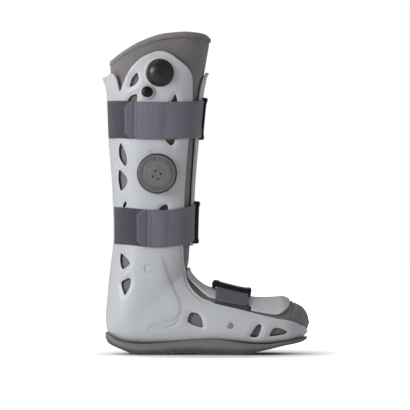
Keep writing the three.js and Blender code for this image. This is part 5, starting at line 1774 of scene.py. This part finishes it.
class WalkingBootSettings(bpy.types.PropertyGroup):
    """Colours, pitches and light of the walking boot"""

    shell_colour: colour_of("Shell", "Colour of the hard shell and panels",
                            (0.5, 0.515, 0.54))
    shell_roughness: bpy.props.FloatProperty(
        name="Shell roughness", description="Roughness of the hard shell", default=0.4,
        min=0.05, max=1, subtype="FACTOR")
    liner_colour: colour_of("Liner", "Colour of the padded liner", (0.262, 0.243, 0.238))
    binding_colour: colour_of("Binding", "Colour of the liner's binding tape",
                              (0.285, 0.275, 0.29))
    sole_colour: colour_of("Sole", "Colour of the rubber sole", (0.185, 0.178, 0.172))
    strap_colour: colour_of("Straps", "Colour of the webbing straps", (0.245, 0.234, 0.3))
    tab_colour: colour_of("Tabs", "Colour of the straps' free ends", (0.135, 0.128, 0.163))
    patch_colour: colour_of("Loop patches", "Colour of the loop patches",
                            (0.085, 0.077, 0.112))
    thread_colour: colour_of("Thread", "Colour of the stitching", (0.14, 0.135, 0.16))
    black_colour: colour_of("Black parts", "Colour of keepers, bulb and button",
                            (0.006, 0.006, 0.0065))
    dial_colour: colour_of("Dial", "Colour of the selector dial", (0.148, 0.148, 0.155))
    # The dial base's dark colour is partly its own black and partly painted shade of the gap round
    # the dial
    base_colour: colour_of("Dial base", "Colour of the dial's base", (0.018, 0.018, 0.02))
    rivet_colour: colour_of("Rivets", "Colour of the rivets", (0.32, 0.32, 0.33))
    floor_colour: colour_of("Floor", "Colour of the studio floor", (0.96, 0.96, 0.96))
    rib_pitch: length_of("Rib pitch", "Distance between the webbing's ribs", 0.0023)
    stitch_pitch: length_of("Stitch pitch", "Distance between stitches", 0.003)
    lug_pitch: length_of("Lug pitch", "Distance between rows of lugs on the sole", 0.009)
    key_power: bpy.props.FloatProperty(
        name="Key light", description="Power of the main light", default=42.0, min=0,
        max=1000, unit="POWER")
    world_strength: bpy.props.FloatProperty(
        name="World light", description="Strength of the light from all round",
        default=0.33, min=0, max=10)


class BootOperator:
    """Shared by the operators: each builds its pieces from the scene's settings"""

    bl_options = {"REGISTER", "UNDO"}

    def execute(self, context):
        if not hasattr(context.scene, "walking_boot"):
            raise RuntimeError("the walking boot's settings are not registered")
        self.make(context.scene.walking_boot)
        return {"FINISHED"}


class BOOT_OT_shell(BootOperator, bpy.types.Operator):
    """Build the hard shell with its windows, slots, lip and moulded marks"""

    bl_idname = "boot.shell"
    bl_label = "Shell"
    make = staticmethod(make_shell)


class BOOT_OT_panels(BootOperator, bpy.types.Operator):
    """Build the two front panels"""

    bl_idname = "boot.panels"
    bl_label = "Front panels"
    make = staticmethod(make_panels)


class BOOT_OT_liner(BootOperator, bpy.types.Operator):
    """Build the padded liner"""

    bl_idname = "boot.liner"
    bl_label = "Liner"
    make = staticmethod(make_liner)


class BOOT_OT_binding(BootOperator, bpy.types.Operator):
    """Build the binding on the liner's rim and its stitches"""

    bl_idname = "boot.binding"
    bl_label = "Liner binding"
    make = staticmethod(make_binding)


class BOOT_OT_sole(BootOperator, bpy.types.Operator):
    """Build the rocker sole and its lugs"""

    bl_idname = "boot.sole"
    bl_label = "Sole"
    make = staticmethod(make_sole)


class BOOT_OT_straps(BootOperator, bpy.types.Operator):
    """Build the straps with their tabs, loop patches, stitches and keepers"""

    bl_idname = "boot.straps"
    bl_label = "Straps and keepers"

    @staticmethod
    def make(s):
        for name in LEG_STRAPS:
            make_leg_strap(s, name)
        make_foot_strap(s)


class BOOT_OT_dial(BootOperator, bpy.types.Operator):
    """Build the selector dial and its base"""

    bl_idname = "boot.dial"
    bl_label = "Dial"
    make = staticmethod(make_dial)


class BOOT_OT_pump(BootOperator, bpy.types.Operator):
    """Build the pump bulb, the release button with its collar, and the rivets"""

    bl_idname = "boot.pump"
    bl_label = "Pump, release and rivets"

    @staticmethod
    def make(s):
        make_bulb(s)
        make_release(s)
        make_rivets(s)


class BOOT_OT_stage(BootOperator, bpy.types.Operator):
    """Set up the floor, the lights and the camera"""

    bl_idname = "boot.stage"
    bl_label = "Stage, lights and camera"
    make = staticmethod(make_stage)


OPERATORS = (BOOT_OT_shell, BOOT_OT_panels, BOOT_OT_liner, BOOT_OT_binding, BOOT_OT_sole,
             BOOT_OT_straps, BOOT_OT_dial, BOOT_OT_pump, BOOT_OT_stage)


class BOOT_PT_panel(bpy.types.Panel):
    """Lists the boot's operators and settings in the sidebar"""

    bl_label = "Walking boot"
    bl_idname = "BOOT_PT_panel"
    bl_space_type = "VIEW_3D"
    bl_region_type = "UI"
    bl_category = "Walking boot"

    def draw(self, context):
        for operator in OPERATORS:
            self.layout.operator(operator.bl_idname)
        for key in WalkingBootSettings.__annotations__:
            self.layout.prop(context.scene.walking_boot, key)


CLASSES = (WalkingBootSettings, *OPERATORS, BOOT_PT_panel)


def register():
    for item in CLASSES:
        bpy.utils.register_class(item)
    bpy.types.Scene.walking_boot = bpy.props.PointerProperty(type=WalkingBootSettings)


def unregister():
    del bpy.types.Scene.walking_boot
    for item in reversed(CLASSES):
        bpy.utils.unregister_class(item)


def main():
    register()
    for operator in OPERATORS:
        section_name, name = operator.bl_idname.split(".")
        getattr(getattr(bpy.ops, section_name), name)()


if __name__ == "__main__":
    main()
